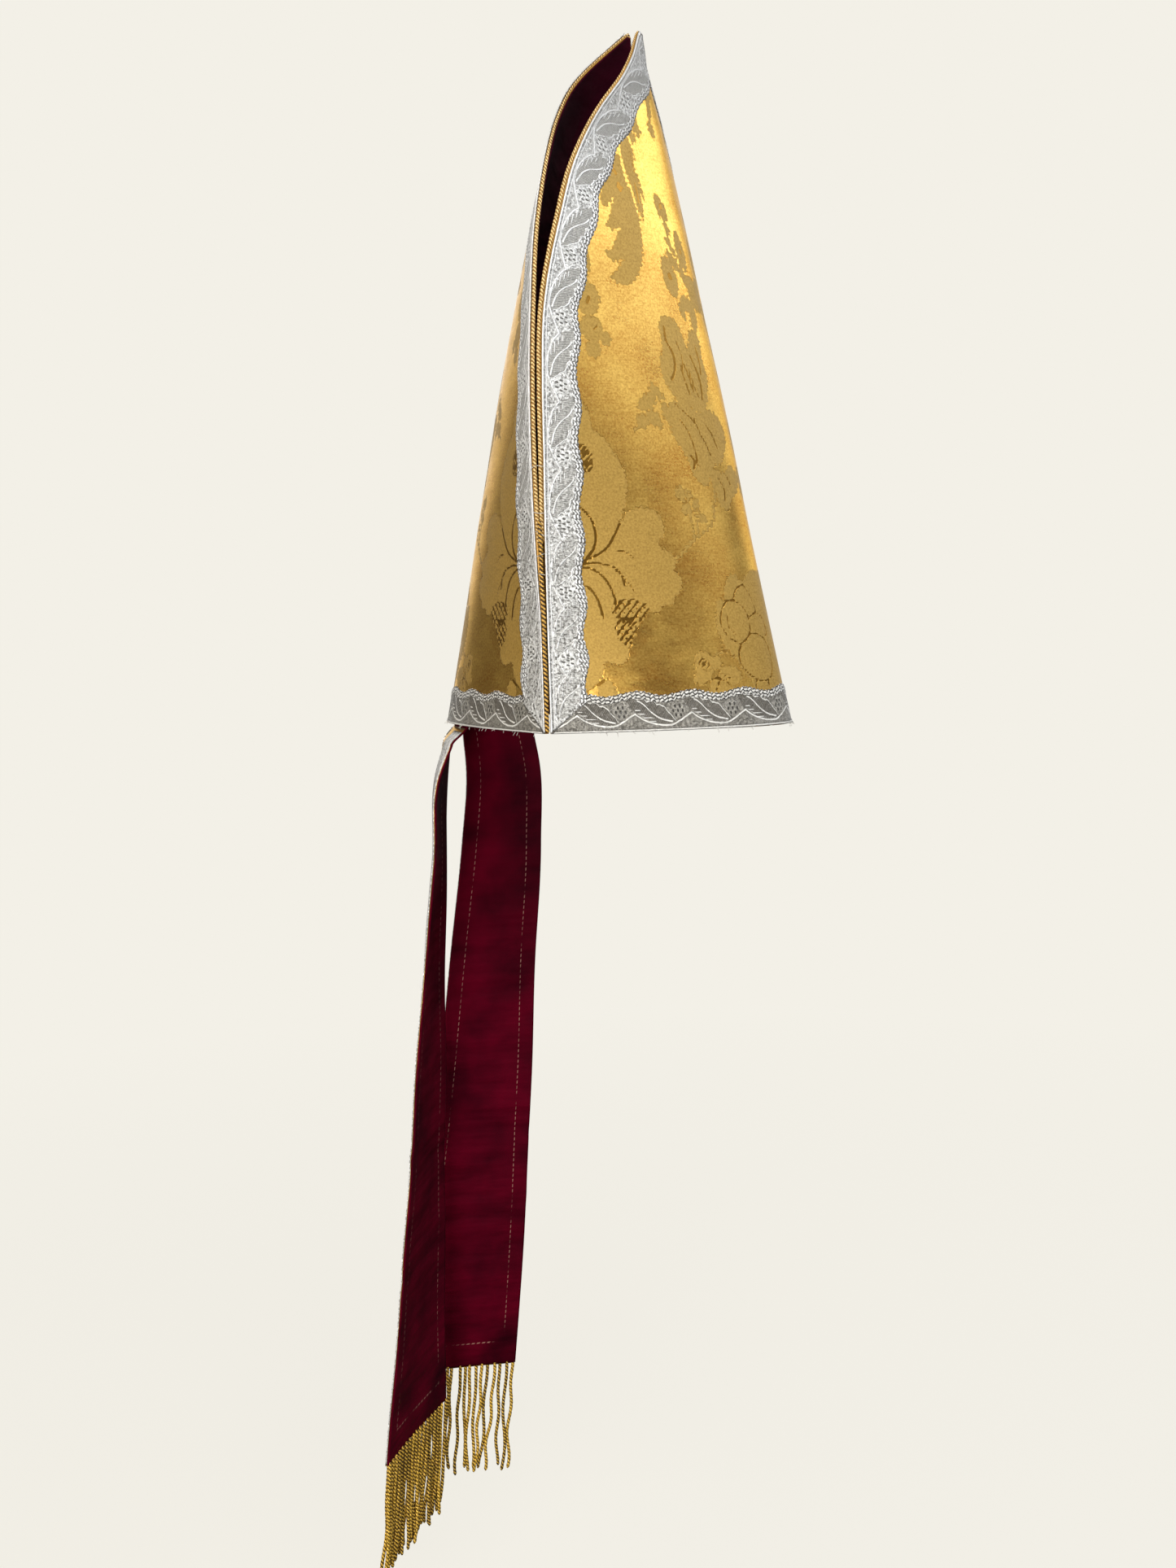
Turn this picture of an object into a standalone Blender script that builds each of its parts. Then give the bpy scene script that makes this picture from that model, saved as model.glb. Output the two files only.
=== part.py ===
"""A bishop's mitre at real size: two stiff lined horns sewn together at the sides, galloon and piping
on their borders, and two fringed lappets at the back.

The rim plane is Z = 0 and the origin is its centre. The front of the mitre faces -Y and the wearer's
right side is -X. Tables and sizes are in millimetres and are turned to metres where a mesh is made.
"""

import math
from typing import NamedTuple

import bpy
import numpy as np
from mathutils import Matrix, Vector

MM = 0.001
GAP = 0.35  # clear space between pieces that touch

# ---------------------------------------------------------------------------------------- sizes
HEIGHT = 389.0  # rim to the tips of the horns
BEND = 285.0  # the tips curl together above this
HORN_WALL = 2.0  # buckram with its damask
LINING_WALL = 0.8
LINING_LIFT = -(HORN_WALL + 0.4)
LINING_TOP = 366.0
LINING_INSET = 2.5  # from a horn's side edge to the lining's
GALLOON_WIDTH = 22.0
GALLOON_WALL = 0.9
TIP_SPLIT = 0.5  # from the middle line to each galloon's cut end at the tip
TIP_CLEAR = 0.3  # extra lift of the galloon where the tips curl
PIPING_RADIUS = 1.1
PIPING_FOOT = 131.0
SEAM_TOP = 126.0
SEAM_CORD_RADIUS = 1.5
SEAM_CORD_STAND = 1.3  # how far the cord's middle stands outside the corner of the horns
LAPPET_TOP_WIDTH = 47.0
LAPPET_FOOT_WIDTH = 75.0
LAPPET_WALL = 1.6
LAPPET_TUCK = 12.0  # height of the part sewn inside the rim
LAPPET_TUCK_LIFT = -4.3
TRIM_WIDTH = 14.0  # narrow galloon on a lappet's outer face
TRIM_WALL = 0.8
TRIM_LIFT = 0.9
FRINGE_LENGTH = 75.0
FRINGE_HEAD = 6.0
FRINGE_WALL = 3.0
FRINGE_LOCKS = 13
HANG = Vector((-0.02, 0.08, -1.0)).normalized()  # the way the lappets and fringe hang


class HornRow(NamedTuple):
    """One level of a horn: its half width, how far it bows out, and where its side edges lie."""

    height: float
    half_width: float
    bow: float
    power: float  # 2 is a parabola, less is a sharper crest
    front_y: float
    back_y: float
    gape: float  # how far the right edges of the two horns part, and the left ones close, along X


HORN = (
    HornRow(0, 89.0, 107.5, 1.75, -1.4, 1.4, 0.0),
    HornRow(60, 90.5, 94.2, 1.7, -1.7, 1.2, 0.0),
    HornRow(120, 94.0, 79.8, 1.65, -3.4, 2.1, 0.0),
    HornRow(150, 95.5, 72.8, 1.62, -4.5, 1.8, 0.0),
    HornRow(185, 96.0, 64.8, 1.6, -5.0, 1.3, 0.0),
    HornRow(230, 93.5, 53.2, 1.55, -6.3, 0.6, 0.0),
    HornRow(275, 82.5, 38.4, 1.5, -11.4, 2.2, 0.0),
    HornRow(312, 67.0, 25.0, 1.48, -16.0, 2.6, 0.0),
    HornRow(340, 46.0, 16.0, 1.5, -19.4, 2.6, 0.04),
    HornRow(362, 27.3, 6.5, 1.6, -23.8, -3.8, 0.15),
    HornRow(378, 12.5, 1.8, 1.8, -25.2, -12.2, 0.18),
    HornRow(HEIGHT, 2.0, 0.5, 2.0, -25.4, -18.0, 0.1),
)


class LappetRow(NamedTuple):
    """One level of a hanging lappet: its middle, the turn of its width from +X, and its bow."""

    drop: float
    x: float
    y: float
    turn: float
    bow: float


RIGHT_LAPPET = (
    LappetRow(12, -25.0, 98.0, 30.0, 4.0),
    LappetRow(30, -28.0, 102.0, 23.0, 3.5),
    LappetRow(80, -31.4, 104.0, 21.0, 3.0),
    LappetRow(154, -37.6, 108.0, 17.5, 2.5),
    LappetRow(230, -43.2, 111.0, 12.5, 2.0),
    LappetRow(305, -49.0, 114.0, 8.2, 2.0),
    LappetRow(375, -54.0, 117.0, 5.0, 1.5),
    LappetRow(434, -58.5, 119.5, 2.8, 1.0),
)
LEFT_LAPPET = (
    LappetRow(12, 24.8, 90.5, -40.0, 4.0),
    LappetRow(30, 26.2, 88.9, -43.0, 3.5),
    LappetRow(80, 26.6, 91.8, -44.5, 3.0),
    LappetRow(154, 26.2, 100.6, -45.5, 2.5),
    LappetRow(230, 26.4, 108.4, -46.0, 2.0),
    LappetRow(305, 26.0, 117.2, -45.0, 2.0),
    LappetRow(375, 25.7, 125.6, -43.5, 1.5),
    LappetRow(430, 24.8, 133.0, -42.0, 1.0),
)
OUTER_EXTRA_DROP = 8.0  # a lappet's outer corner hangs this much lower than its inner one


class Finish(NamedTuple):
    """A Principled material: linear colour, roughness and metallic value."""

    name: str
    colour: tuple
    roughness: float
    metallic: float


GOLD_DAMASK = Finish("gold_silk_damask", (0.50, 0.30, 0.07), 0.42, 0.25)
SILVER_GALLOON = Finish("silver_galloon", (0.55, 0.54, 0.50), 0.45, 0.40)
GOLD_CORD = Finish("gold_twisted_cord", (0.58, 0.36, 0.09), 0.40, 0.45)
BURGUNDY_LINING = Finish("burgundy_lining", (0.075, 0.002, 0.015), 0.55, 0.0)
GOLD_FRINGE = Finish("gold_bullion_fringe", (0.48, 0.27, 0.05), 0.45, 0.40)

FRONT, BACK = -1, 1
RIGHT, LEFT = -1, 1
SIDE_NAMES = {FRONT: "front", BACK: "back"}
HAND_NAMES = {RIGHT: "right", LEFT: "left"}


# ------------------------------------------------------------------------- reading the tables
def column(table, field, at):
    """The smooth value of one column of a table at a place along its first column."""
    keys = [row[0] for row in table]
    values = [getattr(row, field) for row in table]
    slopes = np.gradient(values, keys)
    at = min(max(at, keys[0]), keys[-1])
    i = min(int(np.searchsorted(keys, at, side="right")) - 1, len(keys) - 2)
    span = keys[i + 1] - keys[i]
    t = (at - keys[i]) / span
    start = (1 + 2 * t) * (1 - t) ** 2 * values[i] + t * (1 - t) ** 2 * span * slopes[i]
    end = t * t * (3 - 2 * t) * values[i + 1] - t * t * (1 - t) * span * slopes[i + 1]
    return float(start + end)


def section(side, height):
    """The outline of a horn at one height, and the distance along it from the middle line."""
    share = np.linspace(-1.0, 1.0, 121)
    names = ("half_width", "bow", "power", "gape")
    width, bow, power, gape = (column(HORN, name, height) for name in names)
    edge = column(HORN, f"{SIDE_NAMES[side]}_y", height)
    x = width * share
    y = edge + side * (bow * (1.0 - np.abs(share) ** power) - gape * x)
    length = np.concatenate(([0.0], np.cumsum(np.hypot(np.diff(x), np.diff(y)))))
    return x, y, length - length[-1] / 2.0


def half_arc(height):
    """Half the cloth's width from side edge to side edge, measured along the section."""
    return float(section(FRONT, height)[2][-1])


def on_horn(side, arc, height):
    """The point of a horn's outer face at a distance along its section from the middle line."""
    x, y, length = section(side, height)
    return Vector((float(np.interp(arc, length, x)), float(np.interp(arc, length, y)), height))


def horn_normal(side, arc, height):
    """The outward direction of a horn's outer face, from two short steps on it."""
    low, high = max(height - 1.5, 0.0), min(height + 1.5, HEIGHT)
    share = min(max(arc / half_arc(height), -0.97), 0.97)
    across = on_horn(side, (share + 0.03) * half_arc(height), height)
    across = across - on_horn(side, (share - 0.03) * half_arc(height), height)
    along = on_horn(side, share * half_arc(high), high) - on_horn(side, share * half_arc(low), low)
    normal = across.cross(along).normalized()
    return normal if normal.y * side > 0 else -normal


def lifted(side, arc, height, lift):
    """A point off a horn's outer face by a distance along the outward direction."""
    return on_horn(side, arc, height) + horn_normal(side, arc, height) * lift


# ------------------------------------------------------------------------------ making meshes
def finish_of(finish):
    """The material of a finish, made once."""
    material = bpy.data.materials.get(finish.name)
    if material is None:
        material = bpy.data.materials.new(finish.name)
        material.use_nodes = True
        shader = material.node_tree.nodes["Principled BSDF"]
        shader.inputs["Base Color"].default_value = (*finish.colour, 1.0)
        shader.inputs["Roughness"].default_value = finish.roughness
        shader.inputs["Metallic"].default_value = finish.metallic
    return material


def add(name, data, collection, finish):
    """An object of a mesh or curve, with its material, in the collection."""
    piece = bpy.data.objects.new(name, data)
    data.materials.append(finish_of(finish))
    collection.objects.link(piece)
    return piece


def sheet(name, rows, wall, outward, collection, finish):
    """A sheet of cloth lofted through rows of points, given its wall by Solidify.

    The rows' points lie on the outer face. outward is a direction that the first face looks along.
    """
    count = len(rows[0])
    points = [tuple(point * MM) for row in rows for point in row]
    faces = []
    for i in range(len(rows) - 1):
        for j in range(count - 1):
            a = i * count + j
            faces.append((a, a + 1, a + count + 1, a + count))
    first = (rows[0][1] - rows[0][0]).cross(rows[1][0] - rows[0][0])
    if first.dot(outward) < 0:
        faces = [face[::-1] for face in faces]
    mesh = bpy.data.meshes.new(name)
    mesh.from_pydata(points, [], faces)
    mesh.shade_smooth()
    piece = add(name, mesh, collection, finish)
    solidify = piece.modifiers.new("wall", "SOLIDIFY")
    solidify.thickness = wall * MM
    solidify.offset = -1.0
    return piece


def cord(name, points, radius, collection, finish):
    """A round cord through a list of points, with filled ends."""
    curve = bpy.data.curves.new(name, "CURVE")
    curve.dimensions = "3D"
    curve.bevel_depth = radius * MM
    curve.bevel_resolution = 1
    curve.use_fill_caps = True
    spline = curve.splines.new("POLY")
    spline.points.add(len(points) - 1)
    for knot, point in zip(spline.points, points):
        knot.co = (*(point * MM), 1.0)
    return add(name, curve, collection, finish)


# ---------------------------------------------------------------------------------- the horns
def horn_grid():
    """The heights and the shares of the half arc where a horn's grid lines lie."""
    rows, columns = 15, 18
    heights = [BEND * i / 9 for i in range(9)]
    heights += [BEND + (HEIGHT - BEND) * (1 - (1 - i / rows) ** 1.3) for i in range(rows + 1)]
    shares = [2.0 * j / columns - 1.0 for j in range(columns + 1)]
    return heights, shares


def make_horn(side, collection):
    """One stiff horn."""
    heights, shares = horn_grid()
    rows = [[on_horn(side, share * half_arc(z), z) for share in shares] for z in heights]
    name = f"{SIDE_NAMES[side]}_horn"
    return sheet(name, rows, HORN_WALL, horn_normal(side, -half_arc(0), 0), collection, GOLD_DAMASK)


def make_lining(side, collection):
    """The lining of one horn, on the same grid lines, short of the horn's side edges."""
    heights, shares = horn_grid()
    rows = []
    for z in heights:
        height = min(z, LINING_TOP)
        reach = half_arc(height) - LINING_INSET
        rows.append([lifted(side, share * reach, height, LINING_LIFT) for share in shares])
        if z > LINING_TOP:
            break
    name = f"{SIDE_NAMES[side]}_lining"
    outward = horn_normal(side, -half_arc(0), 0)
    return sheet(name, rows, LINING_WALL, outward, collection, BURGUNDY_LINING)


# -------------------------------------------------------------------------------- the borders
def inset_border(inset):
    """The line at a distance inside a horn's side edge, as heights and arcs, on the cloth."""
    heights = np.linspace(0.0, HEIGHT, 160)
    arcs = np.array([half_arc(z) for z in heights])
    tangent = np.stack([np.gradient(arcs), np.gradient(heights)], axis=1)
    tangent /= np.linalg.norm(tangent, axis=1)[:, None]
    inner = np.stack([arcs, heights], axis=1) + inset * np.stack([-tangent[:, 1], tangent[:, 0]], axis=1)
    keep = (inner[:, 0] > 0.0) & (inner[:, 1] > 0.0)
    order = np.argsort(inner[keep, 1])
    return inner[keep, 1][order], inner[keep, 0][order]


def border_rows(side, hand):
    """Rows across the galloon on one side edge of a horn, from the rim's corner to the tip."""
    inner_heights, inner_arcs = inset_border(GALLOON_WIDTH)
    apex = float(inner_heights[-1])
    rows = []
    for i in range(29):
        t = i / 28
        outer_height = GAP + (HEIGHT - GAP) * (1 - (1 - t) ** 1.6)
        inner_height = GALLOON_WIDTH + (apex - GALLOON_WIDTH) * (1 - (1 - t) ** 1.6)
        outer_arc = half_arc(outer_height)
        inner_arc = float(np.interp(inner_height, inner_heights, inner_arcs))
        if i == 28:
            outer_arc = inner_arc = TIP_SPLIT
        lift = GAP + GALLOON_WALL + TIP_CLEAR * min(1.0, max(0.0, (outer_height - BEND) / 40.0))
        row = []
        for v in (0.0, 0.2, 0.4, 0.6, 0.8, 1.0):
            arc = outer_arc + (inner_arc - outer_arc) * v
            height = outer_height + (inner_height - outer_height) * v
            row.append(lifted(side, hand * max(arc, TIP_SPLIT), height, lift))
        rows.append(row)
    return rows


def make_side_galloon(side, hand, collection):
    """The galloon on one side edge of a horn."""
    name = f"{SIDE_NAMES[side]}_{HAND_NAMES[hand]}_galloon"
    outward = horn_normal(side, hand * half_arc(0), 0)
    return sheet(name, border_rows(side, hand), GALLOON_WALL, outward, collection, SILVER_GALLOON)


def make_rim_galloon(side, collection):
    """The galloon along the rim of one horn, mitred at the corners."""
    low = half_arc(0) - 2 * GAP
    high = half_arc(GALLOON_WIDTH) - GALLOON_WIDTH - 2 * GAP
    rows = []
    for i in range(31):
        t = 2 * i / 30 - 1
        row = []
        for v in (0.0, 0.5, 1.0):
            row.append(lifted(side, t * (low + (high - low) * v), GALLOON_WIDTH * v, GAP + GALLOON_WALL))
        rows.append(row)
    name = f"{SIDE_NAMES[side]}_rim_galloon"
    outward = horn_normal(side, -half_arc(0), 0)
    return sheet(name, rows, GALLOON_WALL, outward, collection, SILVER_GALLOON)


def edge_point(side, hand, height, stand):
    """A point that stands off a horn's side edge, level with the middle of its wall."""
    low, high = max(height - 1.0, 0.0), min(height + 1.0, HEIGHT)
    along = on_horn(side, hand * half_arc(high), high) - on_horn(side, hand * half_arc(low), low)
    normal = horn_normal(side, hand * half_arc(height), height)
    out = normal.cross(along).normalized()
    out = out if out.x * hand > 0 else -out
    return on_horn(side, hand * half_arc(height), height) - normal * (HORN_WALL / 2) + out * stand


def make_piping(side, collection):
    """The gold piping along a horn's free border, from seam to seam over the tip."""
    stand = PIPING_RADIUS + GAP
    steps = [1 - (1 - i / 24) ** 1.7 for i in range(25)]
    heights = [PIPING_FOOT + (HEIGHT - PIPING_FOOT) * t for t in steps]
    stands = [stand + 0.6 * t**8 for t in steps]
    right = [edge_point(side, RIGHT, z, off) for z, off in zip(heights, stands)]
    left = [edge_point(side, LEFT, z, off) for z, off in zip(heights, stands)][::-1]
    tip = on_horn(side, 0.0, HEIGHT) - horn_normal(side, 0.0, HEIGHT) * (HORN_WALL / 2)
    rise = (on_horn(side, 0.0, HEIGHT) - on_horn(side, 0.0, HEIGHT - 1.0)).normalized()
    top = [tip + rise * (stand + 0.8)]
    return cord(f"{SIDE_NAMES[side]}_piping", right + top + left, PIPING_RADIUS, collection, GOLD_CORD)


def make_seam_cord(hand, collection):
    """The twisted cord that closes one side seam."""
    points = []
    for i in range(9):
        z = 1.0 + (SEAM_TOP - 1.0) * i / 8
        x = column(HORN, "half_width", z) + SEAM_CORD_STAND
        y = (column(HORN, "front_y", z) + column(HORN, "back_y", z)) / 2
        points.append(Vector((hand * x, y, z)))
    return cord(f"{HAND_NAMES[hand]}_seam_cord", points, SEAM_CORD_RADIUS, collection, GOLD_CORD)


# -------------------------------------------------------------------------------- the lappets
def lappet_frame(table, drop):
    """A lappet's middle, width direction and outward direction at a drop below the rim."""
    turn = math.radians(column(table, "turn", drop))
    middle = Vector((column(table, "x", drop), column(table, "y", drop), -drop))
    return middle, Vector((math.cos(turn), math.sin(turn), 0)), Vector((-math.sin(turn), math.cos(turn), 0))


def lappet_point(hand, share, drop):
    """A point of a lappet's outer face; share runs -1 to 1 towards +X, drop from -LAPPET_TUCK."""
    table = RIGHT_LAPPET if hand == RIGHT else LEFT_LAPPET
    foot = table[-1].drop
    half = (LAPPET_TOP_WIDTH + (LAPPET_FOOT_WIDTH - LAPPET_TOP_WIDTH) * max(drop, 0) / foot) / 2
    sewn = lifted(BACK, hand * (LAPPET_TOP_WIDTH / 2 + 2.5) + share * half, max(-drop, 0), LAPPET_TUCK_LIFT)
    if drop <= 0:
        return sewn
    middle, across, outward = lappet_frame(table, max(drop, table[0].drop))
    bow = column(table, "bow", drop)
    hung = middle + across * (half * share) + outward * (bow * (1 - share * share))
    hung.z = -drop - OUTER_EXTRA_DROP * (drop / foot) * (1 + share * hand) / 2
    blend = min(1.0, drop / table[0].drop)
    blend = blend * blend * (3 - 2 * blend)
    sewn.z = hung.z
    return sewn.lerp(hung, blend)


def make_lappet(hand, collection):
    """One lappet, sewn inside the back of the rim."""
    foot = (RIGHT_LAPPET if hand == RIGHT else LEFT_LAPPET)[-1].drop
    drops = [-LAPPET_TUCK, 0.0, 4.0, 8.0] + [12.0 + (foot - 12.0) * (i / 13) ** 1.4 for i in range(14)]
    rows = [[lappet_point(hand, s, drop) for s in (-1, -0.6, -0.2, 0.2, 0.6, 1)] for drop in drops]
    outward = horn_normal(BACK, hand * LAPPET_TOP_WIDTH / 2, 0)
    return sheet(f"{HAND_NAMES[hand]}_lappet", rows, LAPPET_WALL, outward, collection, GOLD_DAMASK)


def make_lappet_trim(hand, collection):
    """The narrow galloon round a lappet's outer face: down one edge, across the foot, up the other."""
    foot = (RIGHT_LAPPET if hand == RIGHT else LEFT_LAPPET)[-1].drop
    head = 14.0

    def lifted_row(outer, inner):
        row = []
        middle = ((outer[0] + inner[0]) / 2, (outer[1] + inner[1]) / 2)
        for share, drop in (outer, middle, inner):
            step = lappet_point(hand, share, drop + 3) - lappet_point(hand, share, drop - 3)
            side_step = lappet_point(hand, share + 0.05, drop) - lappet_point(hand, share - 0.05, drop)
            out = step.cross(side_step).normalized()
            out = out if out.y > 0 else -out
            row.append(lappet_point(hand, share, drop) + out * (TRIM_LIFT + TRIM_WALL))
        return row

    def inner_share(drop):
        half = (LAPPET_TOP_WIDTH + (LAPPET_FOOT_WIDTH - LAPPET_TOP_WIDTH) * drop / foot) / 2
        return 1 - TRIM_WIDTH / half

    last = foot - 3.5
    inner_last = last - TRIM_WIDTH
    rows = []
    for i in range(13):
        outer = head + (last - head) * (i / 12) ** 1.4
        inner = head + (inner_last - head) * (i / 12) ** 1.4
        rows.append(lifted_row((-0.98, outer), (-inner_share(inner), inner)))
    for i in range(1, 6):
        t = -1 + 2 * i / 6
        rows.append(lifted_row((0.98 * t, last), (inner_share(inner_last) * t, inner_last)))
    for i in range(12, -1, -1):
        outer = head + (last - head) * (i / 12) ** 1.4
        inner = head + (inner_last - head) * (i / 12) ** 1.4
        rows.append(lifted_row((0.98, outer), (inner_share(inner), inner)))
    name = f"{HAND_NAMES[hand]}_lappet_galloon"
    return sheet(name, rows, TRIM_WALL, Vector((0, 1, 0)), collection, SILVER_GALLOON)


def fringe_outline(width):
    """The comb-shaped outline of a fringe: a head with locks of uneven length hanging from it."""
    pitch = width / FRINGE_LOCKS
    points = [(-width / 2, 0.0), (width / 2, 0.0)]
    for i in range(FRINGE_LOCKS):
        middle = width / 2 - (i + 0.5) * pitch
        length = FRINGE_LENGTH - 4.0 * (0.5 + 0.5 * math.sin(2.4 * i))
        sway = 1.2 * math.sin(1.7 * i)
        points.append((middle + 0.40 * pitch, -FRINGE_HEAD))
        points.append((middle + sway * 0.5 + 0.28 * pitch, -length))
        points.append((middle + sway * 0.5 - 0.28 * pitch, -length))
        points.append((middle - 0.40 * pitch, -FRINGE_HEAD))
    return points


def make_fringe(hand, collection):
    """The fringe under a lappet, as locks fused to a head."""
    foot = (RIGHT_LAPPET if hand == RIGHT else LEFT_LAPPET)[-1].drop
    start, end = (lappet_point(hand, share, foot) for share in (-1, 1))
    across = (end - start).normalized()
    facing = across.cross(-HANG).normalized()
    inner_face = facing * (LAPPET_WALL / 2)
    curve = bpy.data.curves.new(f"{HAND_NAMES[hand]}_fringe", "CURVE")
    curve.dimensions = "2D"
    curve.fill_mode = "BOTH"
    curve.extrude = FRINGE_WALL / 2 * MM
    outline = fringe_outline((end - start).length)
    spline = curve.splines.new("POLY")
    spline.points.add(len(outline) - 1)
    for knot, (x, y) in zip(spline.points, outline):
        knot.co = (x * MM, y * MM, 0.0, 1.0)
    spline.use_cyclic_u = True
    piece = add(curve.name, curve, collection, GOLD_FRINGE)
    up = facing.cross(across)
    place = ((start + end) / 2 + inner_face - up * (GAP + 0.4)) * MM
    axes = Matrix((across, up, facing)).transposed().to_4x4()
    piece.matrix_world = Matrix.Translation(place) @ axes
    return piece


def main():
    """Builds the whole mitre."""
    for old in list(bpy.data.objects):
        bpy.data.objects.remove(old, do_unlink=True)
    collection = bpy.data.collections.new("bishop_mitre")
    bpy.context.scene.collection.children.link(collection)
    for side in (FRONT, BACK):
        make_horn(side, collection)
        make_lining(side, collection)
        make_rim_galloon(side, collection)
        make_piping(side, collection)
        for hand in (RIGHT, LEFT):
            make_side_galloon(side, hand, collection)
    for hand in (RIGHT, LEFT):
        make_seam_cord(hand, collection)
        make_lappet(hand, collection)
        make_lappet_trim(hand, collection)
        make_fringe(hand, collection)


main()
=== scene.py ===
"""A bishop's mitre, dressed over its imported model.

Two stiff horns in gold silk damask carry silver galloon on every border, gold piping on the free
edges, a twisted cord down each side seam and a burgundy lining. Two lappets with bullion fringe hang
from the back of the rim. Sizes are in millimetres until a mesh is made. The rim is the plane Z = 0,
the front faces -Y and the wearer's right side is -X.
"""

import logging
import math
from dataclasses import dataclass, field
from enum import Enum
from typing import Callable, NamedTuple

import bmesh
import bpy
import numpy as np
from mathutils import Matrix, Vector


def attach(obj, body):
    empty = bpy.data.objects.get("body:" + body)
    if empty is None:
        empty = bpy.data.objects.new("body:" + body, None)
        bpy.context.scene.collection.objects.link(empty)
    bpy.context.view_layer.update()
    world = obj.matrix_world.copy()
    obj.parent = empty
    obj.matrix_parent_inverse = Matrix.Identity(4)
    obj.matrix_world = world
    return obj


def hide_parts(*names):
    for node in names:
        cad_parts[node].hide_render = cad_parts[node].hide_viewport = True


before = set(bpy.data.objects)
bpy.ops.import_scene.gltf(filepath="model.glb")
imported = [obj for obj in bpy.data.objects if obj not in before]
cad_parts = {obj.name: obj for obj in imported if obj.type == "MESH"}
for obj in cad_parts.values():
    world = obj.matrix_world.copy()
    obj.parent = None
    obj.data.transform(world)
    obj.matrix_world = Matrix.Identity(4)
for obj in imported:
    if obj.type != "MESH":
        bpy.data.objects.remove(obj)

MM = 0.001
LOG = logging.getLogger("mitre")
Points = np.ndarray
Placed = dict[str, np.ndarray]


class Side(Enum):
    """The two horns, by the way that they bow out along Y."""

    FRONT = -1
    BACK = 1


class Hand(Enum):
    """The wearer's two sides, by their sign along X."""

    RIGHT = -1
    LEFT = 1


# ------------------------------------------------------------------------------------ the forms
class HornRow(NamedTuple):
    """One level of the horns: half width, bow, crest power, where the side edges lie, and the gape.

    The gape is the slope by which the right edges part and the left ones close towards the tips.
    """

    height: float
    half_width: float
    bow: float
    power: float
    front_y: float
    back_y: float
    gape: float


class LappetRow(NamedTuple):
    """One level of a hanging lappet: its middle, the turn of its width from +X, and its bow."""

    drop: float
    x: float
    y: float
    turn: float
    bow: float


class Wave(NamedTuple):
    """A soft wave down a lappet: its height, its drop to each radian, its slant and its shift."""

    height: float
    reach: float
    slant: float
    shift: float


class Crease(NamedTuple):
    """A crease across a lappet: its drop, its slant, its half width and its height."""

    drop: float
    slant: float
    spread: float
    height: float


HEIGHT = 389.0
HORN = (
    HornRow(0, 89.0, 107.5, 1.75, -1.4, 1.4, 0.0),
    HornRow(60, 90.5, 94.2, 1.7, -1.7, 1.2, 0.0),
    HornRow(120, 94.0, 79.8, 1.65, -3.4, 2.1, 0.0),
    HornRow(150, 95.5, 72.8, 1.62, -4.5, 1.8, 0.0),
    HornRow(185, 96.0, 64.8, 1.6, -5.0, 1.3, 0.0),
    HornRow(230, 93.5, 53.2, 1.55, -6.3, 0.6, 0.0),
    HornRow(275, 82.5, 38.4, 1.5, -11.4, 2.2, 0.0),
    HornRow(312, 67.0, 25.0, 1.48, -16.0, 2.6, 0.0),
    HornRow(340, 46.0, 16.0, 1.5, -19.4, 2.6, 0.04),
    HornRow(362, 27.3, 6.5, 1.6, -23.8, -3.8, 0.15),
    HornRow(378, 12.5, 1.8, 1.8, -25.2, -12.2, 0.18),
    HornRow(HEIGHT, 2.0, 0.5, 2.0, -25.4, -18.0, 0.1),
)
LAPPETS = {
    Hand.RIGHT: (
        LappetRow(12, -25.0, 98.0, 30.0, 4.0),
        LappetRow(30, -28.0, 102.0, 23.0, 3.5),
        LappetRow(80, -31.4, 104.0, 21.0, 3.0),
        LappetRow(154, -37.6, 108.0, 17.5, 2.5),
        LappetRow(230, -43.2, 111.0, 12.5, 2.0),
        LappetRow(305, -49.0, 114.0, 8.2, 2.0),
        LappetRow(375, -54.0, 117.0, 5.0, 1.5),
        LappetRow(434, -58.5, 119.5, 2.8, 1.0),
    ),
    Hand.LEFT: (
        LappetRow(12, 24.8, 90.5, -40.0, 4.0),
        LappetRow(30, 26.2, 88.9, -43.0, 3.5),
        LappetRow(80, 26.6, 91.8, -44.5, 3.0),
        LappetRow(154, 26.2, 100.6, -45.5, 2.5),
        LappetRow(230, 26.4, 108.4, -46.0, 2.0),
        LappetRow(305, 26.0, 117.2, -45.0, 2.0),
        LappetRow(375, 25.7, 125.6, -43.5, 1.5),
        LappetRow(430, 24.8, 133.0, -42.0, 1.0),
    ),
}
WAVES = (Wave(0.55, 41.0, 1.4, 1.3), Wave(0.35, 17.0, -2.1, 0.0))
CREASES = (Crease(262, 9, 5.0, 0.5), Crease(318, -7, 6.0, -0.45))


def smooth_column(table: tuple, name: str, at: Points) -> Points:
    """Reads one column of a table smoothly.

    Args:
        table: Rows whose first value is the place that the row stands at.
        name: The column's name.
        at: Places to read.

    Returns:
        The column's values there.
    """
    keys = np.array([row[0] for row in table], float)
    values = np.array([getattr(row, name) for row in table], float)
    slopes = np.gradient(values, keys)
    at = np.clip(at, keys[0], keys[-1])
    i = np.clip(np.searchsorted(keys, at, side="right") - 1, 0, len(keys) - 2)
    span = keys[i + 1] - keys[i]
    t = (at - keys[i]) / span
    start = (1 + 2 * t) * (1 - t) ** 2 * values[i] + t * (1 - t) ** 2 * span * slopes[i]
    return start + t * t * (3 - 2 * t) * values[i + 1] - t * t * (1 - t) * span * slopes[i + 1]


def unit(vectors: Points) -> Points:
    """The same vectors at length one."""
    return vectors / np.maximum(np.linalg.norm(vectors, axis=-1, keepdims=True), 1e-9)


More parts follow.
